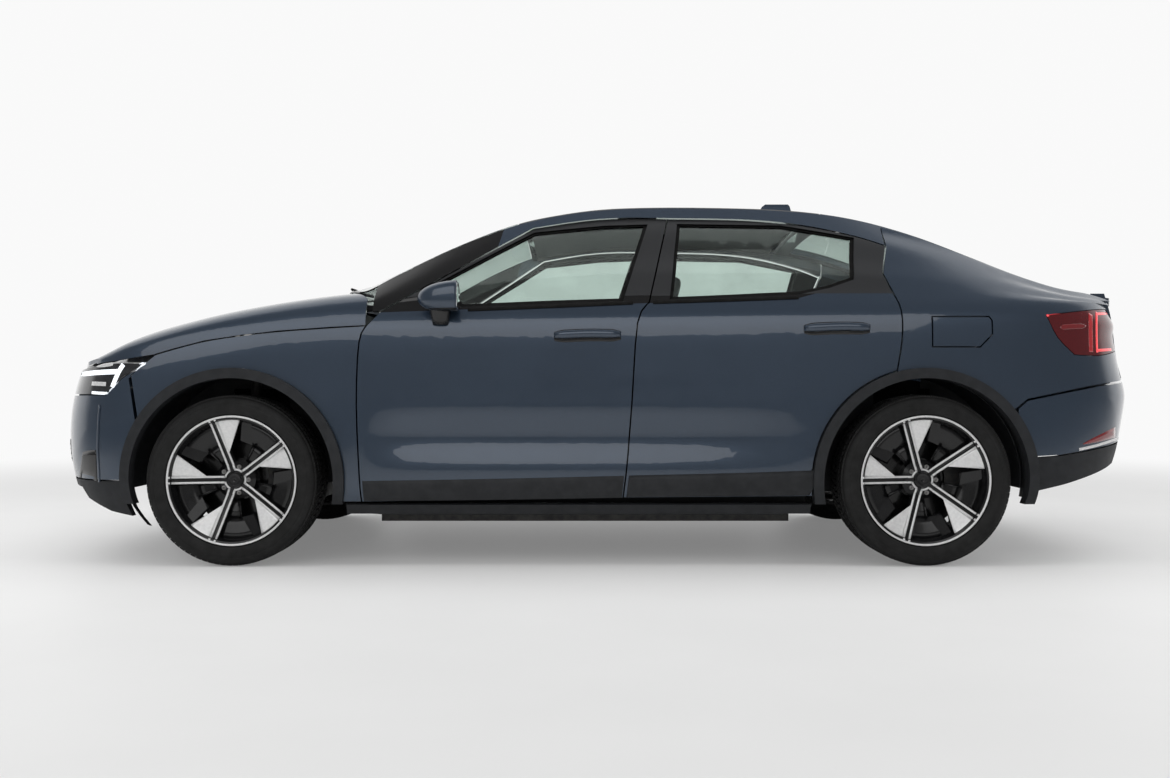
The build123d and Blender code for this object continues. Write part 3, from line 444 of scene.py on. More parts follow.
def surface(name, low, high, rough, metallic=0.0, scale=40.0, coat=0.0, shine=0.5, relief=0.0,
            relief_scale=900.0):
    """Finish with mottled colour, uneven roughness and optional fine relief."""
    material, tree, bsdf, coords = shader(name)
    tree.links.new(ramp(tree, noise(tree, coords, scale), low, high), bsdf.inputs["Base Color"])
    tree.links.new(ramp(tree, noise(tree, coords, scale * 0.3, 5.0), *rough), bsdf.inputs["Roughness"])
    bsdf.inputs["Metallic"].default_value = metallic
    bsdf.inputs["Coat Weight"].default_value = coat
    bsdf.inputs["Coat Roughness"].default_value = COAT_ROUGHNESS
    bsdf.inputs["Specular IOR Level"].default_value = shine
    if relief:
        bumped(tree, bsdf, noise(tree, coords, relief_scale, 2.0), relief, 0.0004)
    return material


def clear_glass(name, tint):
    """Tinted glass with faint unevenness."""
    material, tree, bsdf, coords = shader(name)
    shade = tuple(c * 0.92 for c in tint)
    tree.links.new(ramp(tree, noise(tree, coords, 6.0), shade, tuple(tint)), bsdf.inputs["Base Color"])
    bsdf.inputs["Roughness"].default_value = 0.0
    bsdf.inputs["IOR"].default_value = GLASS_IOR
    bsdf.inputs["Transmission Weight"].default_value = 1.0
    bsdf.inputs["Coat Weight"].default_value = 0.6
    bsdf.inputs["Coat Roughness"].default_value = 0.0
    return material


def glowing(name, colour, strength, rough=0.25):
    """Lit light guide under a clear cover, or the painted glow of a red reflector, which is no lamp."""
    material, tree, bsdf, coords = shader(name)
    shade = tuple(c * 0.8 for c in colour)
    tree.links.new(ramp(tree, noise(tree, coords, 220.0), shade, tuple(colour)), bsdf.inputs["Base Color"])
    bsdf.inputs["Roughness"].default_value = rough
    bsdf.inputs["Emission Color"].default_value = (*colour, 1)
    bsdf.inputs["Emission Strength"].default_value = strength
    bsdf.inputs["Coat Weight"].default_value = 1.0
    return material


def beyond(tree, coords, direction, limit):
    """One where a direction's share of (x, |y|, z) is over a limit, else nought."""
    add, link = tree.nodes.new, tree.links.new
    parts, whole = add("ShaderNodeSeparateXYZ"), add("ShaderNodeCombineXYZ")
    size, share, over = add("ShaderNodeMath"), add("ShaderNodeVectorMath"), add("ShaderNodeMath")
    size.operation, share.operation, over.operation = "ABSOLUTE", "DOT_PRODUCT", "GREATER_THAN"
    link(coords.outputs["Object"], parts.inputs["Vector"])
    link(parts.outputs["Y"], size.inputs[0])
    link(parts.outputs["X"], whole.inputs["X"])
    link(size.outputs["Value"], whole.inputs["Y"])
    link(parts.outputs["Z"], whole.inputs["Z"])
    link(whole.outputs["Vector"], share.inputs[0])
    share.inputs[1].default_value = direction
    link(share.outputs["Value"], over.inputs[0])
    over.inputs[1].default_value = limit
    return over.outputs["Value"]


def combined(tree, operation, first, second):
    """Two values joined by a sum, the smaller, the larger or another operation."""
    node = tree.nodes.new("ShaderNodeMath")
    node.operation = operation
    tree.links.new(first, node.inputs[0])
    tree.links.new(second, node.inputs[1])
    return node.outputs["Value"]


def mixed(tree, mask, plain, other):
    """Colour or grey that changes where a mask is one."""
    node = tree.nodes.new("ShaderNodeMix")
    node.data_type = "RGBA"
    tree.links.new(mask, node.inputs["Factor"])
    ends = [socket for socket in node.inputs if socket.type == "RGBA"]
    tree.links.new(plain, ends[0])
    ends[1].default_value = (*other, 1) if isinstance(other, tuple) else (other, other, other, 1)
    return [socket for socket in node.outputs if socket.type == "RGBA"][0]


def metallic_paint(look, name="Metallic paint", black=None, inside=None):
    """Clear-coated metallic paint with fine flakes, and gloss black or grained plastic where masks say."""
    material, tree, bsdf, coords = shader(name)
    flakes = tree.nodes.new("ShaderNodeTexVoronoi")
    flakes.inputs["Scale"].default_value = 1600.0
    tree.links.new(coords.outputs["Object"], flakes.inputs["Vector"])
    colour = ramp(tree, flakes.outputs["Distance"], tuple(look.flake), tuple(look.body), 0.0, 0.55)
    haze = noise(tree, coords, 3.0)
    rough, metal, coat = (ramp(tree, haze, *span) for span in ((0.3, 0.36), (0.54, 0.56), (0.98, 1.0)))
    for mask, dark, gloss, clear in ((black, BLACK, 0.16, 0.12), (inside, tuple(look.plastic), 0.75, 0.0)):
        if mask:
            where = mask(tree, coords)
            colour, rough = mixed(tree, where, colour, dark), mixed(tree, where, rough, gloss)
            metal, coat = mixed(tree, where, metal, 0.0), mixed(tree, where, coat, clear)
    for source, name in ((colour, "Base Color"), (rough, "Roughness"), (metal, "Metallic"),
                         (coat, "Coat Weight")):
        tree.links.new(source, bsdf.inputs[name])
    bsdf.inputs["Coat Roughness"].default_value = COAT_ROUGHNESS
    return material


def above_belt(tree, coords):
    """Window frames of the doors, over the belt line that rises towards the tail."""
    belt, corner = beyond(tree, coords, (0.0357, 0, 1), 1.0335), beyond(tree, coords, (0.28, 0, 1), 0.838)
    return combined(tree, "MINIMUM", belt, corner)


def door_inside(tree, coords):
    """Inner face of the doors."""
    return beyond(tree, coords, (0, -1, 0), -0.842)


def front_pillar(tree, coords):
    """Windscreen pillar, ahead of the roof."""
    return beyond(tree, coords, (1, 0, 0.25), 0.735)


def mirror_foot(tree, coords):
    """Lower part of the mirror and its foot."""
    return beyond(tree, coords, (0, 0, -1), -1.014)


def woven(name, low, high, scale=900.0):
    """Cloth with a crossed weave and a soft sheen."""
    material, tree, bsdf, coords = shader(name)
    threads = []
    for direction in ("X", "Z"):
        wave = tree.nodes.new("ShaderNodeTexWave")
        wave.bands_direction = direction
        wave.inputs["Scale"].default_value = scale
        wave.inputs["Distortion"].default_value = 0.6
        tree.links.new(coords.outputs["Object"], wave.inputs["Vector"])
        threads.append(wave.outputs["Fac"])
    weave = combined(tree, "MAXIMUM", *threads)
    tree.links.new(ramp(tree, weave, low, high, 0.2, 0.9), bsdf.inputs["Base Color"])
    bsdf.inputs["Roughness"].default_value = 0.85
    bsdf.inputs["Sheen Weight"].default_value = 0.3
    bumped(tree, bsdf, weave, 0.3, 0.0005)
    return material


def make_finishes(look):
    """All materials, by plain names."""
    plastic, lamp_red = tuple(look.plastic), tuple(look.lamp_red)
    FINISH.update(
        paint=metallic_paint(look),
        door=metallic_paint(look, "Door paint and frames", above_belt, door_inside),
        rail=metallic_paint(look, "Rail paint and pillars", front_pillar),
        mirror_cap=metallic_paint(look, "Mirror cap", mirror_foot),
        plastic=surface("Grained plastic", plastic, tuple(c * 1.35 for c in plastic), (0.5, 0.62),
                        scale=25, shine=0.25, relief=0.25, relief_scale=1400),
        black=surface("Gloss black", BLACK, (0.006, 0.006, 0.0065), (0.12, 0.18), coat=0.2),
        rubber=surface("Tyre rubber", (0.007, 0.007, 0.007), (0.011, 0.011, 0.011), (0.62, 0.78),
                       shine=0.3, relief=0.2, relief_scale=700),
        seal=surface("Window seal", (0.006, 0.006, 0.006), (0.01, 0.01, 0.01), (0.7, 0.8),
                     shine=0.08, relief=0.1),
        rim=surface("Rim lacquer", BLACK, (0.007, 0.007, 0.0075), (0.16, 0.24), coat=0.15, shine=0.35),
        silver=surface("Turned alloy", (0.72, 0.72, 0.72), (0.8, 0.8, 0.8), (0.42, 0.5),
                       metallic=0.55, scale=90),
        steel=surface("Brake disc", (0.24, 0.235, 0.23), (0.34, 0.335, 0.33), (0.3, 0.42),
                      metallic=1.0, scale=60),
        iron=surface("Coated iron", (0.035, 0.035, 0.037), (0.06, 0.058, 0.055), (0.5, 0.7),
                     metallic=0.4, relief=0.3, relief_scale=300),
        tray=surface("Pressed alloy", (0.2, 0.21, 0.22), (0.28, 0.29, 0.3), (0.4, 0.55),
                     metallic=0.8, relief=0.1, relief_scale=200),
        glass=clear_glass("Side glass", look.window),
        roof=surface("Dark roof glass", (0.006, 0.007, 0.009), (0.009, 0.01, 0.013), (0.03, 0.06), coat=1.0),
        lens=surface("Lamp housing", (0.012, 0.013, 0.015), (0.03, 0.032, 0.036), (0.08, 0.14),
                     metallic=0.4, coat=1.0),
        red_lens=surface("Red lens", lamp_red, tuple(c * 1.2 for c in lamp_red), (0.08, 0.12),
                         scale=300, coat=0.3),
        white_guide=glowing("White light guide", (0.86, 0.9, 0.95), 0.9),
        red_guide=glowing("Red light guide", (0.8, 0.05, 0.06), 0.6),
        red_band=glowing("Red light band", (0.3, 0.008, 0.012), 0.3),
        # the red reflector's faint emission is painted glow: a reflector gives no light of its own
        reflector=glowing("Red reflector", (0.16, 0.006, 0.009), 0.06, 0.12),
        cloth=woven("Pad cloth", (0.018, 0.018, 0.02), (0.045, 0.045, 0.048)),
        carpet=woven("Carpet", (0.014, 0.014, 0.015), (0.03, 0.03, 0.031), 600.0),
        hide=surface("Steering hide", (0.014, 0.014, 0.015), (0.022, 0.022, 0.023), (0.45, 0.55),
                     relief=0.35, relief_scale=600),
        screen=surface("Dark screen", (0.004, 0.005, 0.007), (0.007, 0.008, 0.011), (0.04, 0.07), coat=1.0),
        mirror=surface("Mirror glass", (0.78, 0.8, 0.82), (0.84, 0.86, 0.88), (0.02, 0.03), metallic=1.0),
    )


NODE_FINISH = {
    "paint": ("fenders", "quarter_panels", "front_bumper", "grille_panel", "rear_bumper", "antenna", "hood",
              "tailgate", "charge_flap"),
    "door": tuple(f"door_{corner}" for corner in CORNERS),
    "rail": ("roof_rails",),
    "mirror_cap": ("mirror_left", "mirror_right"),
    "plastic": ("sills", "arch_claddings", "wheel_liners", "cowl", "front_valance", "rear_valance",
                "floor_pan", "firewall", "front_bay_cover", "dashboard"),
    "black": ("door_pillars",),
    "roof": ("roof_panel",),
    "glass": ("windscreen", "rear_window", *(f"glass_{corner}" for corner in CORNERS)),
    "lens": ("headlamps",),
    "red_lens": ("tail_lamps", "light_bar"),
    "iron": ("battery_pack", "front_axle", "rear_axle", "knuckle_front_left", "knuckle_front_right"),
    "tray": ("drive_unit",),
    "carpet": ("cargo_floor",),
    "cloth": ("front_seats", "rear_seat"),
    "hide": ("steering_wheel",),
    "rim": tuple(f"wheel_{corner}" for corner in CORNERS),
    "rubber": tuple(f"tyre_{corner}" for corner in CORNERS),
}
WELD_REACH, CRISP_ANGLE = 0.00002, math.radians(28)


class SEDAN_OT_finishes(bpy.types.Operator):
    """Make the materials and give each CAD node its own"""
    bl_idname = "sedan.finishes"
    bl_label = "Finishes"

    def execute(self, context):
        make_finishes(context.scene.sedan_paint)
        for finish, names in NODE_FINISH.items():
            for name in names:
                node = nodes[name]
                node.data.materials.clear()
                node.data.materials.append(FINISH[finish])
                for face in node.data.polygons:
                    face.use_smooth = True
                node.modifiers.new("Weld", "WELD").merge_threshold = WELD_REACH
                node.modifiers.new("Crisp edges", "EDGE_SPLIT").split_angle = CRISP_ANGLE
        return {"FINISHED"}


# Wheels: places along the axle are measured outwards from the tyre's middle, radii and angles about it

def box_middle(name):
    """Middle of a node's box."""
    low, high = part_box(name)
    return Vector(low).lerp(Vector(high), 0.5)


WHEEL_MID = {end: box_middle(f"tyre_{end}_left") for end in ENDS}
TO_AXLE = Matrix(((0, 1, 0, 0), (0, 0, 1, 0), (1, 0, 0, 0), (0, 0, 0, 1)))

TREAD_BASE, SHOULDER_BASE = 0.3312, 0.329
# Rows of tread: place, width, share of a pitch turned, skew, radius
TREAD_ROWS = ((0.0845, 0.034, 0.5, 0.003, SHOULDER_BASE), (0.0465, 0.03, 0.0, -0.006, TREAD_BASE),
              (0.0, 0.046, 0.5, 0.0, TREAD_BASE), (-0.0465, 0.03, 0.0, 0.006, TREAD_BASE),
              (-0.0845, 0.034, 0.5, -0.003, SHOULDER_BASE))
BLOCK_SHARE, SHOULDER_SHARE = 0.84, 0.94
TYRE_HALF = ((0.092, 0.2475), (0.093, 0.2592), (0.1085, 0.2615), (0.1115, 0.264), (0.1115, 0.2672),
             (0.1145, 0.272), (0.1172, 0.283), (0.1178, 0.294), (0.1176, 0.3005), (0.1166, 0.3018),
             (0.1166, 0.3042), (0.1171, 0.3055), (0.1158, 0.3115), (0.113, 0.3185), (0.1095, 0.324),
             (0.104, 0.3283), (0.097, 0.3302), (0.06, 0.3312), (0.0, 0.3316))

SPOKES, SPOKE_PHASE = 5, 18
HUB_FACE, HUB_RISE, HUB_EDGE = 0.048, 0.006, 0.0629
RIM_STEP, RIM_EDGE = 0.2405, 0.2425
RING_BASE = 0.1
LINE_INNER, LINE_OUTER = 0.0068, 0.0152
LINE_STATIONS = (0.0405, 0.0475, 0.0555, 0.0625, 0.09, 0.13, 0.17, 0.21, RIM_STEP, RIM_EDGE, 0.2505)
LINE_PROUD, BLADE_PROUD, BRIGHT_SINK = 0.0009, 0.0008, 0.0012
BLADE_TIP, BLADE_RIM, BLADE_SWEEP = 0.111, 0.2505, 25.4
HUB_ARC, HUB_ARC_RADII = (12, 60), (0.0365, 0.0405, 0.0445)
# Recessed panels between the spokes: first and last angle, columns, radii, height, depth
SECTORS = ((-24, -69, 10, (0.15, 0.18, 0.21, 0.2395), -0.024, 0.028),
           (-44, -64, 6, (0.08, 0.1, 0.125, 0.1505), -0.024, 0.028),
           (-46, -49, 3, (0.09, 0.12, 0.15), -0.012, 0.026))
LIP_PROFILE = ((0.1046, 0.2488), (0.1062, 0.2492), (0.1081, 0.2535), (0.108, 0.2568), (0.1068, 0.2572),
               (0.1045, 0.2495))
SHIELD_PROFILE = ((-0.0785, 0.06), (-0.0785, 0.205), (-0.0725, 0.212), (-0.0715, 0.211), (-0.0765, 0.204),
                  (-0.0765, 0.06))
BOLT_PROFILE = ((0.0, 0.0005), (0.0, 0.0092), (0.004, 0.0092), (0.0062, 0.0078), (0.0066, 0.0045),
                (0.0038, 0.0042), (0.0036, 0.0005))
BOLT_CIRCLE, BOLT_SEAT = 0.054, 0.0058
CAP_PROFILE = ((0.0155, 0.0005), (0.0155, 0.0265), (0.0175, 0.0265), (0.0185, 0.0245), (0.0176, 0.0225),
               (0.0182, 0.012), (0.0186, 0.0005))


def on_wheel(end, sign, mesh, turn=0.0):
    """Mesh made about the Z axis of a ring, set on one wheel of the car and turned about its axle."""
    spin = Matrix.Rotation(math.radians(turn), 4, "Y")
    return on_side(placed(mesh, Matrix.Translation(WHEEL_MID[end]) @ spin @ TO_AXLE), sign)


def ring_turned(profile, steps):
    """Turned piece with its axle along Z, as the rings of copies have theirs."""
    return placed(turned(profile, steps), TO_AXLE.inverted())


def spoke_face(radius):
    """How far out the front of the wheel lies at a radius: hub, sloping spokes, then the rim's edge."""
    if radius > RIM_EDGE:
        return 0.103 + (radius - 0.242) * 0.25
    if radius < HUB_EDGE:
        return min(HUB_FACE + HUB_RISE, HUB_FACE + HUB_RISE - (radius - 0.06) * 0.78)
    spoke = HUB_FACE + 0.002 + (radius - 0.055) * 0.045 / 0.191
    return spoke if radius < RIM_STEP else spoke + (radius - RIM_STEP) * 4.6


def face_plate(rows, proud, deep):
    """Plate on the wheel's front, from rows of (across, radial) points, with its ring radius taken off."""
    def spot(i, k):
        t, r = rows[i][k]
        top = Vector((r - RING_BASE, t, spoke_face(math.hypot(t, r)) + proud))
        return top, top - Vector((0, 0, proud + deep))

    return plate(len(rows), len(rows[0]), spot)


def wheel_point(radius, angle):
    """Across and radial place of a point of the wheel's face."""
    return radius * math.sin(math.radians(angle)), radius * math.cos(math.radians(angle))


def wheel_arc(radius, start, end, columns=8):
    """Points at one radius between two angles."""
    return [wheel_point(radius, start + (end - start) * k / (columns - 1)) for k in range(columns)]


def blade_rows(edge):
    """Rows of a blade that widens from its tip beside a spoke to the rim."""
    first = Vector((-edge, math.sqrt(BLADE_TIP ** 2 - edge ** 2)))
    last = Vector(wheel_point(BLADE_RIM, -BLADE_SWEEP))
    rows = []
    for k in range(15):
        far = first.lerp(last, k / 14)
        near = -math.degrees(math.asin(edge / far.length))
        rows.append(wheel_arc(far.length, near, math.degrees(math.atan2(far.x, far.y)) - 0.2))
    return rows


def tread_block(width, length, height, skew):
    """One block of tread, a slanted frustum standing on the tyre, with X outwards."""
    verts = []
    for level, shrink in ((-0.002, 1.0), (height * 0.75, 1.0), (height, 0.9)):
        for u, v in ((-1, -1), (1, -1), (1, 1), (-1, 1)):
            verts.append((level, u * length / 2 * shrink + v * skew, v * width / 2 * shrink))
    faces = [(3, 2, 1, 0), (8, 9, 10, 11)]
    for k in range(4):
        m = (k + 1) % 4
        faces += [(k, m, 4 + m, 4 + k), (4 + k, 4 + m, 8 + m, 8 + k)]
    return mesh_from(verts, faces, smooth=False)


class SEDAN_OT_tyres(bpy.types.Operator):
    """Tyres with moulded tread blocks and bare sidewalls"""
    bl_idname = "sedan.tyres"
    bl_label = "Tyres"

    def execute(self, context):
        sizes, tree, rubber = context.scene.sedan_sizes, ring_tree(), FINISH["rubber"]
        blocks = sizes.tread_blocks
        pitch = 2 * math.pi * TREAD_BASE / blocks
        parts = [ring_turned((*TYRE_HALF, *((-y, r) for y, r in reversed(TYRE_HALF[:-1]))), 144)]
        for place, width, offset, skew, radius in TREAD_ROWS:
            share = BLOCK_SHARE if radius == TREAD_BASE else SHOULDER_SHARE
            block = tread_block(width, pitch * share, sizes.tread_depth, skew)
            turn = Matrix.Rotation(offset * 2 * math.pi / blocks, 4, "Z")
            ring = repeated(block, tree, blocks, radius, rubber)
            parts.append(placed(ring, Matrix.Translation((0, 0, place)) @ turn))
        whole = joined(parts)
        for end in ENDS:
            for side, sign in SIDES:
                piece = finish_piece(f"tyre_tread_{end}_{side}", on_wheel(end, sign, whole),
                                     f"road_wheel_{end}_{side}", "tyre", rubber)
                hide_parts(f"tyre_{end}_{side}")
        return {"FINISHED"}


class SEDAN_OT_rims(bpy.types.Operator):
    """Turned edges, blades, lip rings, sector panels, bolts and caps of the rims, and the brake shields"""
    bl_idname = "sedan.rims"
    bl_label = "Rims"

    def execute(self, context):
        tree, silver, rim = ring_tree(), FINISH["silver"], FINISH["rim"]
        edges = [face_plate([[(s * LINE_INNER, r), (s * LINE_OUTER, r)] for r in LINE_STATIONS],
                            LINE_PROUD, BRIGHT_SINK) for s in (-1, 1)]
        blade = face_plate(blade_rows(LINE_OUTER - 0.001), BLADE_PROUD, BRIGHT_SINK)
        arc = face_plate([wheel_arc(r, *HUB_ARC) for r in HUB_ARC_RADII], LINE_PROUD, BRIGHT_SINK)
        bright = repeated(joined([*edges, blade, arc]), tree, SPOKES, RING_BASE, silver)
        sectors = [face_plate([wheel_arc(r, start, end, columns) for r in radii], height, depth)
                   for start, end, columns, radii, height, depth in SECTORS]
        panels = repeated(joined(sectors), tree, SPOKES, RING_BASE, rim)
        bolts = repeated(ring_turned(BOLT_PROFILE, 12), tree, SPOKES, BOLT_CIRCLE, FINISH["steel"])
        bolts = placed(bolts, Matrix.Translation((0, 0, HUB_FACE + BOLT_SEAT)))
        cap = ring_turned([(HUB_FACE + y, r) for y, r in CAP_PROFILE], 48)
        lip, shield = ring_turned(LIP_PROFILE, 160), ring_turned(SHIELD_PROFILE, 96)
        half_pitch = 180 / SPOKES
        for end in ENDS:
            for side, sign in SIDES:
                corner = f"{end}_{side}"
                wheel = f"road_wheel_{corner}"
                carrier = f"steering_knuckle_{side}" if end == "front" else "body"
                blades = joined([on_wheel(end, sign, bright, SPOKE_PHASE), on_wheel(end, sign, lip)])
                finish_piece(f"rim_blades_{corner}", blades, wheel, "alloy", silver)
                finish_piece(f"wheel_bolts_{corner}", on_wheel(end, sign, bolts, SPOKE_PHASE + half_pitch),
                             wheel, "steel", FINISH["steel"])
                finish_piece(f"hub_cap_{corner}", on_wheel(end, sign, cap), wheel, "gloss_black", rim)
                finish_piece(f"rim_panels_{corner}", on_wheel(end, sign, panels, SPOKE_PHASE),
                             wheel, "gloss_black", rim)
                finish_piece(f"brake_shield_{corner}", on_wheel(end, sign, shield),
                             carrier, "dark_plastic", FINISH["iron"])
        return {"FINISHED"}


# Lamps: chains of points in the photograph's pixels

HEAD_BAR = ((80.5, 374.5), (97, 372.6), (118, 371.6))
HEAD_ARM = ((123.5, 364.5), (119, 371.6), (113.5, 384), (110, 394))
HEAD_FOOT = ((92, 392.6), (101, 393.2), (109.5, 393.4))
HEAD_BROW = ((97, 366.6), (121, 362.8), (150, 360.4))
HEAD_REFLECTOR = ((92, 383.5), (99, 383.8), (106, 384))
TAIL_BAND = ((1090.5, 314), (1090.5, 333), (1091, 352))
TAIL_BARS = (((1096.5, 312.5), (1096.5, 333), (1097, 352.5)), ((1096.5, 314), (1104, 313.6), (1111, 313.2)),
             ((1097, 350.5), (1104, 350), (1111, 349.6)))
TAIL_GLOW = ((1060, 327.5), (1072, 326.5), (1086, 326))
REFLECTOR_TOP = ((1083, 443.5), (1096, 436.5), (1115, 427))
REFLECTOR_FOOT = ((1083, 444.5), (1096, 442.5), (1115, 437.5))
BRIGHT_STRIP = ((1079, 449.5), (1098, 445), (1118, 438.5))
GUIDE_SINK, TRIM_SINK = 0.004, 0.003


class SEDAN_OT_lamps(bpy.types.Operator):
    """Light guides of the head and tail lamps, the bar between them and the low reflectors"""
    bl_idname = "sedan.lamps"
    bl_label = "Lamps"

    def execute(self, context):
        head, tail = Skin("headlamps").seen, Skin("tail_lamps").seen
        rear = Skin("rear_bumper", "rear_valance").seen
        guides = joined([strip_along(head, HEAD_BAR, 16, 0.02, 0.0016, GUIDE_SINK),
                         strip_along(head, HEAD_ARM, 16, 0.019, 0.0016, GUIDE_SINK),
                         strip_along(head, HEAD_FOOT, 10, 0.011, 0.0014, GUIDE_SINK)])
        chrome = joined([strip_along(head, HEAD_BROW, 16, 0.014, 0.0012, TRIM_SINK, taper=0.7),
                         strip_along(head, HEAD_REFLECTOR, 8, 0.016, 0.0012, TRIM_SINK)])
        bracket = joined([strip_along(tail, chain, 16, 0.011, 0.0018, GUIDE_SINK) for chain in TAIL_BARS])
        band = strip_along(tail, TAIL_BAND, 16, 0.022, 0.0012, GUIDE_SINK)
        glow = strip_along(tail, TAIL_GLOW, 12, 0.02, 0.0012, TRIM_SINK, taper=0.8)
        # the low reflector and the tail glow strip wear the red reflector's painted glow
        reflector = sheet_on(rear, REFLECTOR_FOOT, REFLECTOR_TOP, 3, 14, 0.0015, GUIDE_SINK)
        bright = strip_along(rear, BRIGHT_STRIP, 18, 0.011, 0.0018, GUIDE_SINK)
        for side, sign in SIDES:
            for name, mesh, slot, finish in (
                    ("head_guide", guides, "clear_lens", "white_guide"),
                    ("head_trim", chrome, "alloy", "silver"),
                    ("tail_guide", bracket, "red_lens", "red_guide"),
                    ("tail_band", band, "red_lens", "red_band"),
                    ("tail_glow", glow, "red_lens", "reflector"),
                    ("low_reflector", reflector, "red_lens", "reflector"),
                    ("bright_strip", bright, "alloy", "silver")):
                finish_piece(f"{name}_{side}", on_side(mesh, sign), "body", slot, FINISH[finish])
        low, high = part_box("light_bar")
        reach, mid = high[1] - 0.02, (low[2] + high[2]) / 2
        line = strip_along(Skin("light_bar").tail, crosswise(reach, mid), 60, 0.014, 0.0016, GUIDE_SINK,
                           straight=True)
        finish_piece("bar_guide", line, "tailgate_lid", "red_lens", FINISH["red_guide"])
        return {"FINISHED"}


# Door trim: handles in the photograph's pixels, planks and belts as (x, z) on the door's side

HANDLES = {"front": ((554, 335.5), (588, 334), (621, 334.5)),
           "rear": ((804, 328.5), (837, 327), (870, 327.5))}
DOOR_FOOT = {"front": ((0.928, 0.256), (0.4, 0.2615), (-0.09, 0.27)),
             "rear": ((-0.108, 0.2725), (-0.5, 0.2755), (-0.83, 0.2785))}
DOOR_STRIP = {"front": ((0.933, 0.336), (0.4, 0.345), (-0.098, 0.357)),
              "rear": ((-0.118, 0.358), (-0.5, 0.367), (-0.875, 0.379))}
BELT = {"front": ((0.52, 1.013), (0.2, 1.026), (-0.135, 1.041)),
        "rear": ((-0.215, 1.043), (-0.5, 1.052), (-0.795, 1.063))}
HANDLE_STEPS, HANDLE_LIFT, HANDLE_HALF = 20, 0.02, 0.016
HANDLE_SECTION = ((0, -0.5), (0.25, -0.85), (0.75, -1), (1, -0.75), (1.08, 0), (1, 0.75), (0.75, 1),
                  (0.25, 0.85), (0, 0.5))
PAINTED_SHADE_WIDTH, BELT_WIDTH, SEAL_WIDTH = 0.05, 0.016, 0.02
PLANK_ROWS, PLANK_COLUMNS = 5, 44
SEAL_INSET = 0.004


def door_handle(skin, points):
    """Handle bar over a gloss black strip of painted shade where its recess lies, seated on a door skin."""
    hits = [skin.seen(p.x, p.y) for p in eased(flat(points), HANDLE_STEPS + 1)]
    path, normals = [h[0] for h in hits], [h[1] for h in hits]
    rings = []
    for i, (p, n) in enumerate(hits):
        inset = min(i, HANDLE_STEPS - i) / HANDLE_STEPS
        lift = 0.008 + HANDLE_LIFT * min(1, 6 * inset) ** 0.6
        half = HANDLE_HALF * (0.7 + 0.3 * min(1, 5 * inset))
        rings.append([p + n * (out * lift - 0.001) + Vector((0, 0, up * half))
                      for out, up in HANDLE_SECTION])
    # the black strip under the handle stands proud of the skin: painted shade for the dark of the handle's
    # recess
    below = [p - Vector((0, 0, 0.004)) for p in path]
    return loft(rings), strip_on(below, normals, PAINTED_SHADE_WIDTH, 0.0012, 0.003, taper=0.35)


def door_plank(skin, foot, top):
    """Plastic plank along the foot of a door, upright where the skin tucks in under it."""
    foot, top = eased(flat(foot), PLANK_COLUMNS), eased(flat(top), PLANK_COLUMNS)

    def spot(i, k):
        height = i / PLANK_ROWS
        x, z = foot[k].lerp(top[k], height)[:2]
        edge, _ = skin.side(top[k].x, top[k].y)
        place, normal = skin.side(x, z)
        stand = 0.0045 if 0 < i < PLANK_ROWS else 0.002
        y = max(place.y, edge.y - 0.012 * (1 - height) ** 2) + stand
        return Vector((x, y, z)), place - normal * 0.003

    return plate(PLANK_ROWS + 1, PLANK_COLUMNS, spot)


def turns_right(a, b, c):
    """Whether three plane points turn to the right or run straight on."""
    return (b[0] - a[0]) * (c[1] - a[1]) <= (b[1] - a[1]) * (c[0] - a[0])


def pane_outline(name, count=110):
    """Outline of a window pane seen from the side, evenly spaced and drawn in a little."""
    spots = sorted({(round(v.co.x, 4), round(v.co.z, 4)) for v in nodes[name].data.vertices})
    chain = []
    for order in (spots, spots[::-1]):
        half = []
        for p in order:
            while len(half) > 1 and turns_right(half[-2], half[-1], p):
                half.pop()
            half.append(p)
        chain += half[:-1]
    middle = Vector((sum(p[0] for p in chain) / len(chain), sum(p[1] for p in chain) / len(chain), 0))
    ring = between(flat(chain + chain[:1]), count + 1)[:-1]
    return [p - (p - middle).normalized() * SEAL_INSET for p in ring]


class SEDAN_OT_door_trim(bpy.types.Operator):
    """Handles, window seals and low plastic planks of the doors"""
    bl_idname = "sedan.door_trim"
    bl_label = "Door trim"

    def execute(self, context):
        proud = context.scene.sedan_sizes.trim_proud
        for end in ENDS:
            skin, pane = Skin(f"door_{end}_left"), Skin(f"glass_{end}_left")
            handle, painted_shade = door_handle(skin, HANDLES[end])
            plank = door_plank(skin, DOOR_FOOT[end], DOOR_STRIP[end])
            belt = strip_along(skin.side, BELT[end], 40, BELT_WIDTH, proud + 0.002, 0.003)
            hits = [pane.side(p.x, p.y) for p in pane_outline(f"glass_{end}_left")]
            seal = strip_on([h[0] for h in hits], [h[1] for h in hits], SEAL_WIDTH, proud, 0.008,
                            closed=True)
            for side, sign in SIDES:
                body, corner = f"{end}_door_{side}", f"{end}_{side}"
                finish_piece(f"handle_{corner}", on_side(handle, sign), body, "paint", FINISH["paint"])
                # painted shade: gloss black strip under the handle in place of its recess's shadow
                finish_piece(f"handle_painted_shade_{corner}", on_side(painted_shade, sign), body, "gloss_black",
                             FINISH["black"])
                rounded(finish_piece(f"door_plank_{corner}", on_side(plank, sign), body, "dark_plastic",
                                     FINISH["plastic"]))
                finish_piece(f"window_seal_{corner}", on_side(seal, sign), body, "gloss_black",
                             FINISH["seal"])
                finish_piece(f"belt_seal_{corner}", on_side(belt, sign), body, "gloss_black", FINISH["seal"])
        return {"FINISHED"}


# Mirrors

MIRROR_MID, MIRROR_HALF, MIRROR_LENGTH = Vector((0.554, 0.928, 1.064)), (0.063, 0.061), 0.16
MIRROR_STATIONS = (0, 0.015, 0.04, 0.1, 0.2, 0.32, 0.45, 0.58, 0.7, 0.8, 0.88, 0.94, 0.98, 0.998)
SQUARENESS = 3.2
FOOT_TOP, FOOT_SEAT = Vector((0.625, 0.915, 1.012)), (0.625, 0.952)


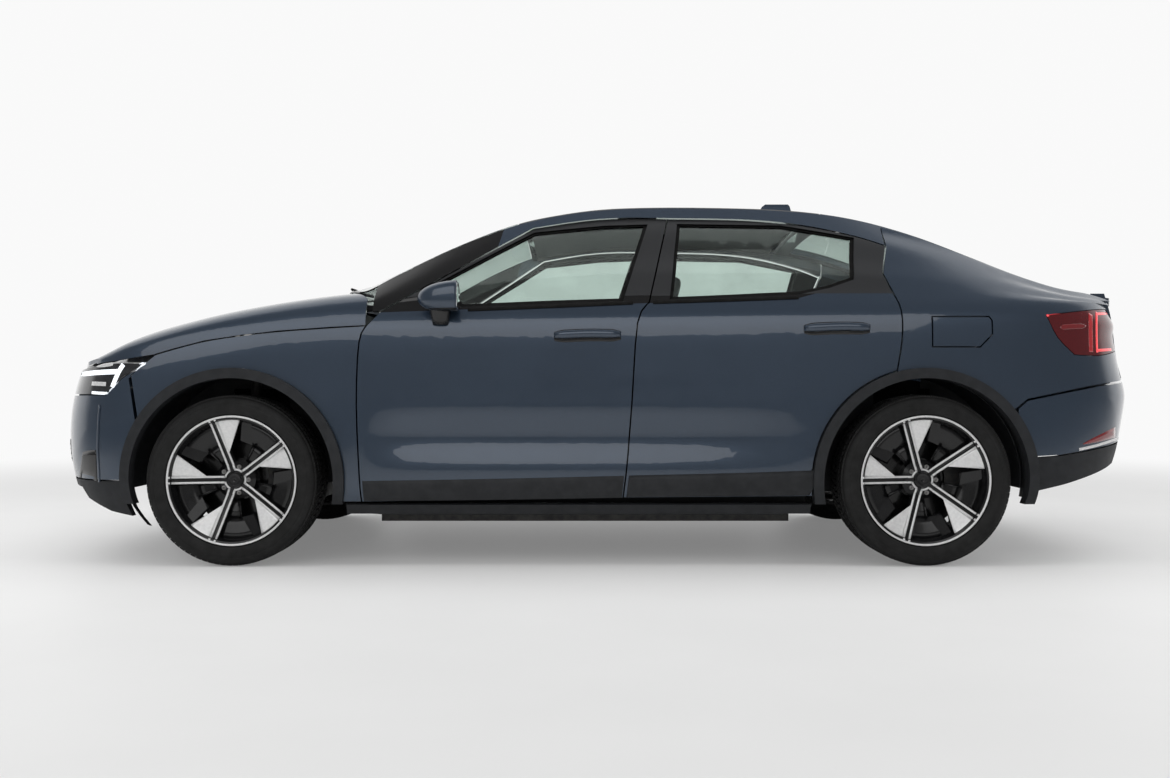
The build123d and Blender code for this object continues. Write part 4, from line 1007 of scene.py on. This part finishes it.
def mirror_ring(middle, size, power=SQUARENESS, steps=36):
    """Ring of rounded-box outline across the car, at a share of the mirror's full size."""
    ring = []
    for turn in turns(steps):
        u, v = (math.copysign(abs(f) ** (2 / power), f) for f in (math.cos(turn), math.sin(turn)))
        ring.append(middle + Vector((0, MIRROR_HALF[0] * size * u, MIRROR_HALF[1] * size * v)))
    return ring


class SEDAN_OT_mirrors(bpy.types.Operator):
    """Rounded mirror shells on their feet, with their glass"""
    bl_idname = "sedan.mirrors"
    bl_label = "Mirrors"

    def execute(self, context):
        rings = []
        for t in MIRROR_STATIONS:
            size = (0.93 + 0.07 * min(1, t / 0.04)) * (1 - t ** 2.6) ** 0.5
            middle = MIRROR_MID + Vector((MIRROR_LENGTH * t, -0.012 * t * t, -0.01 * t))
            rings.append(mirror_ring(middle, size, SQUARENESS - 0.9 * t))
        seat = Skin("door_front_left").side(*FOOT_SEAT)[0]
        foot = [[FOOT_TOP.lerp(seat, t) + Vector((math.cos(a) * (0.044 - 0.014 * t),
                                                  math.sin(a) * (0.034 - 0.016 * t), 0)) for a in turns(24)]
                for t in (-0.2, 0, 0.3, 0.65, 1.0)]
        shell = joined([loft(rings), loft(foot)])
        pane = loft([mirror_ring(MIRROR_MID + Vector((x, 0, 0)), size)
                     for x, size in ((0.004, 0.86), (-0.0012, 0.86), (-0.002, 0.84))])
        for side, sign in SIDES:
            body = f"front_door_{side}"
            piece = finish_piece(f"mirror_shell_{side}", on_side(shell, sign), body, "paint",
                                 FINISH["mirror_cap"])
            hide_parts(f"mirror_{side}")
            finish_piece(f"mirror_glass_{side}", on_side(pane, sign), body, "window_glass", FINISH["mirror"])
        return {"FINISHED"}


# Wheel arches and sills

PLATE_THICK = 0.004
ARCH_RADIUS, LIP_OUTER, LIP_STEPS = 0.404, 0.884, 48
LINER_EDGE = {"front": (0.788, 0.44), "rear": (0.792, 0.414)}
ARCH_SPAN = {"front": (-8, 186), "rear": (-8, 190)}
HOUSE_WALL = {"front": 0.47, "rear": 0.556}
WALL_RADIUS, WALL_REACH, WALL_FOOT = 0.4, 0.36, 0.16
SPAT_HEAD, SPAT_FOOT = Vector((1.876, 0, 0.3)), Vector((1.79, 0, 0.157))
SPAT_INNER, SPAT_WIDTH, SPAT_BOW = 0.846, 0.03, 0.012
SKIRT_ENDS, SKIRT_STEPS, SKIRT_RISE = (-0.845, 1.005), 40, 0.03
# Skirt section: y, z and the slope of its inner side in degrees
SKIRT_PROFILE = ((0.866, 0.244, 0), (0.868, 0.222, 10), (0.862, 0.206, 45), (0.845, 0.199, 90),
                 (0.8, 0.199, 90))


def arch_lip(end):
    """Lip that joins an arch's cladding to its liner."""
    (inner, radius), (start, stop) = LINER_EDGE[end], ARCH_SPAN[end]
    section = ((inner, radius), ((inner + LIP_OUTER) / 2, (radius + ARCH_RADIUS) / 2 + 0.004),
               (LIP_OUTER, ARCH_RADIUS + 0.003))

    def spot(i, k):
        turn = math.radians(start + (stop - start) * k / LIP_STEPS)
        out = Vector((math.cos(turn), 0, math.sin(turn)))
        y, r = section[i]
        middle = Vector((WHEEL_MID[end].x, y, WHEEL_MID[end].z))
        return middle + out * r, middle + out * (r + PLATE_THICK)

    return plate(len(section), LIP_STEPS + 1, spot)


def arch_wall(end):
    """Inner wall of a wheelhouse, above the axle."""
    middle, y = WHEEL_MID[end], HOUSE_WALL[end]

    def spot(i, k):
        x = WALL_REACH * (k / 12 - 1)
        z = middle.z + WALL_FOOT + (math.sqrt(WALL_RADIUS ** 2 - x ** 2) - WALL_FOOT) * i / 4
        return Vector((middle.x + x, y, z)), Vector((middle.x + x, y - PLATE_THICK, z))

    return plate(5, 25, spot)


def spat_spot(i, k):
    """Front and back of the wheel spat at one of its 5 rows and 9 columns."""
    bow = Vector((SPAT_BOW * math.sin(math.pi * i / 4), SPAT_INNER + SPAT_WIDTH * k / 8,
                  0.006 * (k / 8) ** 2))
    front = SPAT_HEAD.lerp(SPAT_FOOT, i / 4) + bow
    return front, front - Vector((0.009, 0, 0.003))


def skirt_spot(i, k):
    """Outside and inside of the sill skirt at a row of its section, drawn up at its ends."""
    y, z, slope = SKIRT_PROFILE[i]
    x = SKIRT_ENDS[0] + (SKIRT_ENDS[1] - SKIRT_ENDS[0]) * k / SKIRT_STEPS
    rise = SKIRT_RISE * max(0, 1 - min(k, SKIRT_STEPS - k) / 3) ** 2
    outer = Vector((x, y, min(z + rise, SKIRT_PROFILE[0][1])))
    inward = Vector((0, -math.cos(math.radians(slope)), math.sin(math.radians(slope))))
    return outer, outer + inward * PLATE_THICK


class SEDAN_OT_arches(bpy.types.Operator):
    """Lips and walls of the wheel arches, spats ahead of the front wheels and skirts under the sills"""
    bl_idname = "sedan.arches"
    bl_label = "Wheel arches"

    def execute(self, context):
        plastic, seal = FINISH["plastic"], FINISH["seal"]
        for end in ENDS:
            lip, wall = arch_lip(end), arch_wall(end)
            for side, sign in SIDES:
                finish_piece(f"arch_lip_{end}_{side}", on_side(lip, sign), "body", "dark_plastic", plastic)
                finish_piece(f"arch_wall_{end}_{side}", on_side(wall, sign), "body", "dark_plastic", seal)
        spat, skirt = plate(5, 9, spat_spot), plate(len(SKIRT_PROFILE), SKIRT_STEPS + 1, skirt_spot)
        for side, sign in SIDES:
            rounded(finish_piece(f"wheel_spat_{side}", on_side(spat, sign), "body", "dark_plastic", seal))
            finish_piece(f"sill_skirt_{side}", on_side(skirt, sign), "body", "dark_plastic", plastic)
        return {"FINISHED"}


# Front trim: ducts in the photograph's pixels, the rest as (y, z) on the nose or (x, y) from above

WIPERS = (("left", 0.56, 0.0), ("right", -0.06, -0.6))
WIPER_STATIONS = (0, 0.25, 0.5, 0.75, 1)
WIPER_FOOT, WIPER_RISE, WIPER_LIFT = 1.116, 0.02, (0.006, 0.018, 0.02, 0.014)
INTAKE_FOOT = ((-0.6, 0.395), (0, 0.385), (0.6, 0.395))
INTAKE_TOP = ((-0.66, 0.49), (0, 0.49), (0.66, 0.49))
SLAT_REACH, SLAT_HEIGHTS = 0.62, (0.41, 0.43, 0.45, 0.47)
DUCT_FOOT = ((79.5, 477), (88, 479.5), (97.5, 481))
DUCT_TOP = ((83, 452), (89, 450.5), (96, 450))
DUCT_EDGE = ((99.5, 482), (98.8, 466), (98, 448), (98.6, 425), (100, 405))
GRILLE_REACH, GRILLE_INSET = 0.42, 0.012
BAR_REACH, BAR_INSET, BARS = 0.39, 0.03, 7
SLOT_REACH, SLOT_START, SLOT_STEP, SLOTS = 0.55, 0.1, 0.024, 5


class SEDAN_OT_front_trim(bpy.types.Operator):
    """Wipers, low intake with slats, nose ducts, grille edge and bars, and cowl slots"""
    bl_idname = "sedan.front_trim"
    bl_label = "Front trim"

    def execute(self, context):
        plastic, black = FINISH["plastic"], FINISH["black"]
        screen, nose = Skin("windscreen", "cowl", "hood"), Skin("front_bumper", "front_valance")
        for name, start, end in WIPERS:
            line = [(start + (end - start) * t, WIPER_FOOT + WIPER_RISE * t) for t in WIPER_STATIONS]
            arm = [screen.nose(y, z - 0.004) for y, z in line[:4]]
            path = eased([place + normal * lift for (place, normal), lift in zip(arm, WIPER_LIFT)], 24)
            wiper = joined([tube(path, 0.005), strip_along(screen.nose, line[1:], 24, 0.01, 0.012, 0.001)])
            finish_piece(f"wiper_{name}", wiper, "body", "dark_plastic", FINISH["seal"])
        intake = sheet_on(nose.nose, INTAKE_FOOT, INTAKE_TOP, 5, 60, 0.002, 0.004)
        finish_piece("low_intake", intake, "body", "gloss_black", black)
        slats = [strip_along(nose.nose, crosswise(SLAT_REACH, z), 60, 0.007, 0.003, 0.002)
                 for z in SLAT_HEIGHTS]
        finish_piece("intake_slats", joined(slats), "body", "dark_plastic", plastic)
        duct = sheet_on(nose.seen, DUCT_FOOT, DUCT_TOP, 6, 14, 0.0015, 0.004)
        edge = strip_along(nose.seen, DUCT_EDGE, 16, 0.009, 0.004, 0.003)
        for side, sign in SIDES:
            finish_piece(f"nose_duct_{side}", on_side(duct, sign), "body", "gloss_black", black)
            finish_piece(f"nose_duct_edge_{side}", on_side(edge, sign), "body", "paint", FINISH["paint"])
        grille = Skin("grille_panel").nose
        low, high = (corner[2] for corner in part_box("grille_panel"))
        outline = crosswise(GRILLE_REACH, low + GRILLE_INSET)
        outline += crosswise(-GRILLE_REACH, high - GRILLE_INSET)
        rim = strip_along(grille, outline + outline[:1], 120, 0.012, 0.003, 0.003, straight=True)
        finish_piece("grille_edge", rim, "body", "gloss_black", black)
        low, high = low + BAR_INSET, high - BAR_INSET
        heights = [low + (high - low) * k / (BARS - 1) for k in range(BARS)]
        bars = [strip_along(grille, crosswise(BAR_REACH, z), 50, 0.005, 0.0025, 0.002) for z in heights]
        finish_piece("grille_bars", joined(bars), "body", "dark_plastic", black)
        cowl, start = Skin("cowl").above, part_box("cowl")[0][0] + SLOT_START
        slots = [strip_along(cowl, [(x, -SLOT_REACH), (x, 0.0), (x, SLOT_REACH)], 40, 0.006, 0.004, 0.002)
                 for x in (start + SLOT_STEP * k for k in range(SLOTS))]
        finish_piece("cowl_slots", joined(slots), "body", "dark_plastic", plastic)
        return {"FINISHED"}


# Cabin

SEAT_PLACE, CHANNEL_WIDTH = 0.36, 0.009
# Pads of the seats: name, size, x, z, tilt in degrees, places of sewn channels, fill
FRONT_PADS = (("cushion", (0.5, 0.5, 0.17), 0.18, 0.49, -8, (0.21,), 0.7),
              ("back", (0.62, 0.47, 0.15), -0.18, 0.78, 66, (0.22,), 0.7),
              ("headrest", (0.18, 0.26, 0.1), -0.3, 1.105, 72, (), 0.8))
REAR_PADS = (("cushion", (0.46, 1.2, 0.16), -0.62, 0.47, -8, (-0.2, 0.2), 0.7),
             ("back", (0.58, 1.18, 0.14), -0.96, 0.73, 62, (-0.2, 0.2), 0.7))
HEADREST_SIZE, HEADREST_PLACES = (0.12, 0.24, 0.08), (-0.4, 0, 0.4)
LINER_LENGTH, LINER_WIDTH, LINER_FRONT = (1.2, 20), (1.12, 16), 0.30
SCREEN_SIZE, SCREEN_BACK, SCREEN_HEIGHT = (0.012, 0.2, 0.27), 0.42, 0.93


def pad(size, centre, tilt=0.0, channels=(), crown=0.12, grid=10):
    """Crowned cushion with sides drawn in between its corners and sewn channels across its width."""
    bm = bmesh.new()
    bmesh.ops.create_cube(bm, size=2)
    bmesh.ops.subdivide_edges(bm, edges=bm.edges[:], cuts=grid, use_grid_fill=True)
    half = Vector(size) * 0.5
    turn = Matrix.Rotation(math.radians(tilt), 4, "Y")
    for vert in bm.verts:
        p = vert.co.copy()
        q = p / max(abs(p.x) ** 5 + abs(p.y) ** 5 + abs(p.z) ** 5, 1e-9) ** 0.2
        draw = 1 - crown * (1 - abs(q.x) ** 2) * abs(q.y) ** 6 * 0.4
        swell = 1 + crown * (1 - q.x ** 2) * (1 - q.y ** 2)
        spot = Vector((q.x * half.x, q.y * half.y * draw, q.z * half.z * swell / (1 + crown)))
        for place in channels:
            spot.z *= 1 - 0.1 * math.exp(-((spot.y - place) / CHANNEL_WIDTH) ** 2)
        vert.co = turn @ spot + Vector(centre)
    bmesh.ops.recalc_face_normals(bm, faces=bm.faces)
    for face in bm.faces:
        face.smooth = True
    mesh = bpy.data.meshes.new("pad")
    bm.to_mesh(mesh)
    bm.free()
    return mesh


def seat_piece(name, mesh):
    """Padded piece of a seat."""
    piece = finish_piece(name, mesh, "body", "fabric", FINISH["cloth"])
    soft = piece.modifiers.new("Soft form", "SUBSURF")
    soft.levels = soft.render_levels = 1
    return piece


class SEDAN_OT_seats(bpy.types.Operator):
    """Padded front and rear seats in place of their plain solids"""
    bl_idname = "sedan.seats"
    bl_label = "Seats"

    def execute(self, context):
        for side, sign in SIDES:
            for name, size, x, z, tilt, channels, fill in FRONT_PADS:
                mesh = pad(size, (x, sign * SEAT_PLACE, z), tilt, [sign * c for c in channels])
                seat_piece(f"front_{name}_{side}", mesh)
        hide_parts("front_seats")
        rears = [seat_piece(f"rear_{name}", pad(size, (x, 0, z), tilt, channels))
                 for name, size, x, z, tilt, channels, fill in REAR_PADS]
        for k, y in enumerate(HEADREST_PLACES):
            seat_piece(f"rear_headrest_{k}", pad(HEADREST_SIZE, (-1.085, y, 1.0), 68))
        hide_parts("rear_seat")
        return {"FINISHED"}


class SEDAN_OT_cabin(bpy.types.Operator):
    """Headliner under the roof and screen of the dashboard"""
    bl_idname = "sedan.cabin"
    bl_label = "Cabin"

    def execute(self, context):
        roof = Skin("roof_panel", "roof_rails", "windscreen", "rear_window")
        (length, rows), (width, columns) = LINER_LENGTH, LINER_WIDTH

        def spot(i, k):
            x, y = LINER_FRONT - length * i / rows, -width / 2 + width * k / columns
            z = roof.ceiling(x, y)[0].z
            return Vector((x, y, z - 0.006)), Vector((x, y, z - 0.018))

        finish_piece("headliner", plate(rows + 1, columns + 1, spot), "body", "fabric", FINISH["carpet"])
        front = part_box("dashboard")[1][0]
        screen = pad(SCREEN_SIZE, (front - SCREEN_BACK, 0, SCREEN_HEIGHT), 12, crown=0.0, grid=8)
        finish_piece("centre_screen", screen, "body", "gloss_black", FINISH["screen"])
        return {"FINISHED"}


# Stage

FLOOR_RADIUS, FLOOR_NEAR, FLOOR_FAR, FLOOR_LIFT = 60, 2.6, 8.5, 0.2
BACKDROP, FILL_LIGHT = 0.95, 0.24
SENSOR_WIDTH = 36
# Area lights: name, place, aim, size, power, whether the paint mirrors it
LIGHTS = (
    ("overhead", (0.3, 0.2, 4.6), (0.3, 0.2, 0), (12, 4), 310, False),
    ("near", (1.5, 7.5, 4.2), (0, 0, 0.6), (11, 4.6), 220, True),
    ("tail", (-6, 2.5, 2.8), (-1.2, 0, 0.7), (2.4, 1.2), 80, False),
    ("nose", (6, 1.5, 2.8), (1.2, 0, 0.7), (2.4, 1.2), 70, False),
)


def seen_rays(tree):
    """One for rays from the camera or through glass, and one for rays from a gloss."""
    rays = tree.nodes.new("ShaderNodeLightPath")
    plain = combined(tree, "MAXIMUM", rays.outputs["Is Camera Ray"], rays.outputs["Is Transmission Ray"])
    return plain, rays.outputs["Is Glossy Ray"]


def spread(tree, value, start, end, low, high):
    """Value eased from one level to another between two limits."""
    node = tree.nodes.new("ShaderNodeMapRange")
    node.interpolation_type = "SMOOTHSTEP"
    for name, level in (("From Min", start), ("From Max", end), ("To Min", low), ("To Max", high)):
        node.inputs[name].default_value = level
    tree.links.new(value, node.inputs["Value"])
    return node.outputs["Result"]


def floor_finish(colour):
    """Pale matt floor that takes shadows near the car and turns white with distance."""
    material, tree, bsdf, coords = shader("Studio floor")
    shade = ramp(tree, noise(tree, coords, 1.5), colour, tuple(c * 1.03 for c in colour))
    tree.links.new(shade, bsdf.inputs["Base Color"])
    bsdf.inputs["Roughness"].default_value = 0.5
    plain, gloss = seen_rays(tree)
    reach = tree.nodes.new("ShaderNodeVectorMath")
    reach.operation = "LENGTH"
    tree.links.new(coords.outputs["Object"], reach.inputs[0])
    far = spread(tree, reach.outputs["Value"], FLOOR_NEAR, FLOOR_FAR, FLOOR_LIFT, 1.0)
    parts = tree.nodes.new("ShaderNodeSeparateXYZ")
    tree.links.new(coords.outputs["Object"], parts.inputs["Vector"])
    gloss = combined(tree, "MULTIPLY", gloss, spread(tree, parts.outputs["Y"], 0.0, -3.0, 0.0, 1.0))
    white, blend = tree.nodes.new("ShaderNodeEmission"), tree.nodes.new("ShaderNodeMixShader")
    white.inputs["Color"].default_value = (BACKDROP, BACKDROP, BACKDROP, 1)
    shown = combined(tree, "MULTIPLY", combined(tree, "MAXIMUM", plain, gloss), far)
    tree.links.new(shown, blend.inputs["Fac"])
    tree.links.new(bsdf.outputs["BSDF"], blend.inputs[1])
    tree.links.new(white.outputs["Emission"], blend.inputs[2])
    tree.links.new(blend.outputs["Shader"], tree.nodes["Material Output"].inputs["Surface"])
    return material


def studio_world(world):
    """White backdrop for the camera and glass, mirrored only from behind the car, over a dim even fill."""
    world.use_nodes = True
    tree = world.node_tree
    back = tree.nodes["Background"]
    back.inputs["Color"].default_value = (1, 1, 1, 1)
    way, parts = tree.nodes.new("ShaderNodeTexCoord"), tree.nodes.new("ShaderNodeSeparateXYZ")
    tree.links.new(way.outputs["Generated"], parts.inputs["Vector"])
    plain, gloss = seen_rays(tree)
    behind = spread(tree, parts.outputs["Y"], 0.1, -0.3, 0.0, 1.0)
    shown = combined(tree, "MAXIMUM", plain, combined(tree, "MULTIPLY", gloss, behind))
    tree.links.new(spread(tree, shown, 0.0, 1.0, FILL_LIGHT, BACKDROP), back.inputs["Strength"])


class SEDAN_OT_stage(bpy.types.Operator):
    """Pale floor, backdrop, soft lights and the photograph's camera"""
    bl_idname = "sedan.stage"
    bl_label = "Stage"

    def execute(self, context):
        scene, look = context.scene, context.scene.sedan_stage
        mesh = bpy.data.meshes.new("studio_floor")
        bm = bmesh.new()
        bmesh.ops.create_circle(bm, cap_ends=True, segments=96, radius=FLOOR_RADIUS)
        bm.to_mesh(mesh)
        bm.free()
        mesh.materials.append(floor_finish(tuple(look.floor)))
        floor = bpy.data.objects.new("studio_floor", mesh)
        scene.collection.objects.link(floor)
        scene.world = scene.world or bpy.data.worlds.new("Studio")
        studio_world(scene.world)
        for name, place, aim, size, power, mirrored in LIGHTS:
            light = bpy.data.lights.new(name, "AREA")
            light.shape, light.energy = "RECTANGLE", power
            light.size, light.size_y = size
            lamp = bpy.data.objects.new(name, light)
            lamp.location = place
            lamp.rotation_euler = (Vector(aim) - Vector(place)).to_track_quat("-Z", "Y").to_euler()
            lamp.visible_glossy = mirrored
            scene.collection.objects.link(lamp)
        camera = bpy.data.cameras.new("photo view")
        camera.lens, camera.sensor_width = look.focal, SENSOR_WIDTH
        eye = bpy.data.objects.new("photo view", camera)
        eye.location = look.eye
        eye.rotation_euler = (math.radians(90), 0, math.radians(180))
        scene.collection.objects.link(eye)
        scene.camera = eye
        scene.view_settings.view_transform = "Standard"
        return {"FINISHED"}


class SEDAN_PT_panel(bpy.types.Panel):
    """Sidebar list of the steps"""
    bl_idname = "SEDAN_PT_panel"
    bl_label = "Sedan"
    bl_space_type = "VIEW_3D"
    bl_region_type = "UI"
    bl_category = "Sedan"

    def draw(self, context):
        for key, _ in GROUPS:
            group = getattr(context.scene, key)
            for name in group.bl_rna.properties.keys():
                if name not in ("rna_type", "name"):
                    self.layout.prop(group, name)
        for step in STEPS:
            self.layout.operator(step.bl_idname)


STEPS = (SEDAN_OT_stage, SEDAN_OT_finishes, SEDAN_OT_tyres, SEDAN_OT_rims, SEDAN_OT_lamps,
         SEDAN_OT_door_trim, SEDAN_OT_mirrors, SEDAN_OT_arches, SEDAN_OT_front_trim, SEDAN_OT_seats,
         SEDAN_OT_cabin)
GROUPS = (("sedan_paint", SedanPaint), ("sedan_sizes", SedanSizes), ("sedan_stage", SedanStage))


def register():
    """Register the groups, steps and panel."""
    for key, group in GROUPS:
        bpy.utils.register_class(group)
        setattr(bpy.types.Scene, key, bpy.props.PointerProperty(type=group))
    for step in (*STEPS, SEDAN_PT_panel):
        bpy.utils.register_class(step)


def unregister():
    """Take everything out again."""
    for step in (*STEPS, SEDAN_PT_panel):
        bpy.utils.unregister_class(step)
    for key, group in GROUPS:
        delattr(bpy.types.Scene, key)
        bpy.utils.unregister_class(group)


def main():
    """Run every step in order."""
    register()
    for step in STEPS:
        group, name = step.bl_idname.split(".")
        getattr(getattr(bpy.ops, group), name)()


if __name__ == "__main__":
    main()
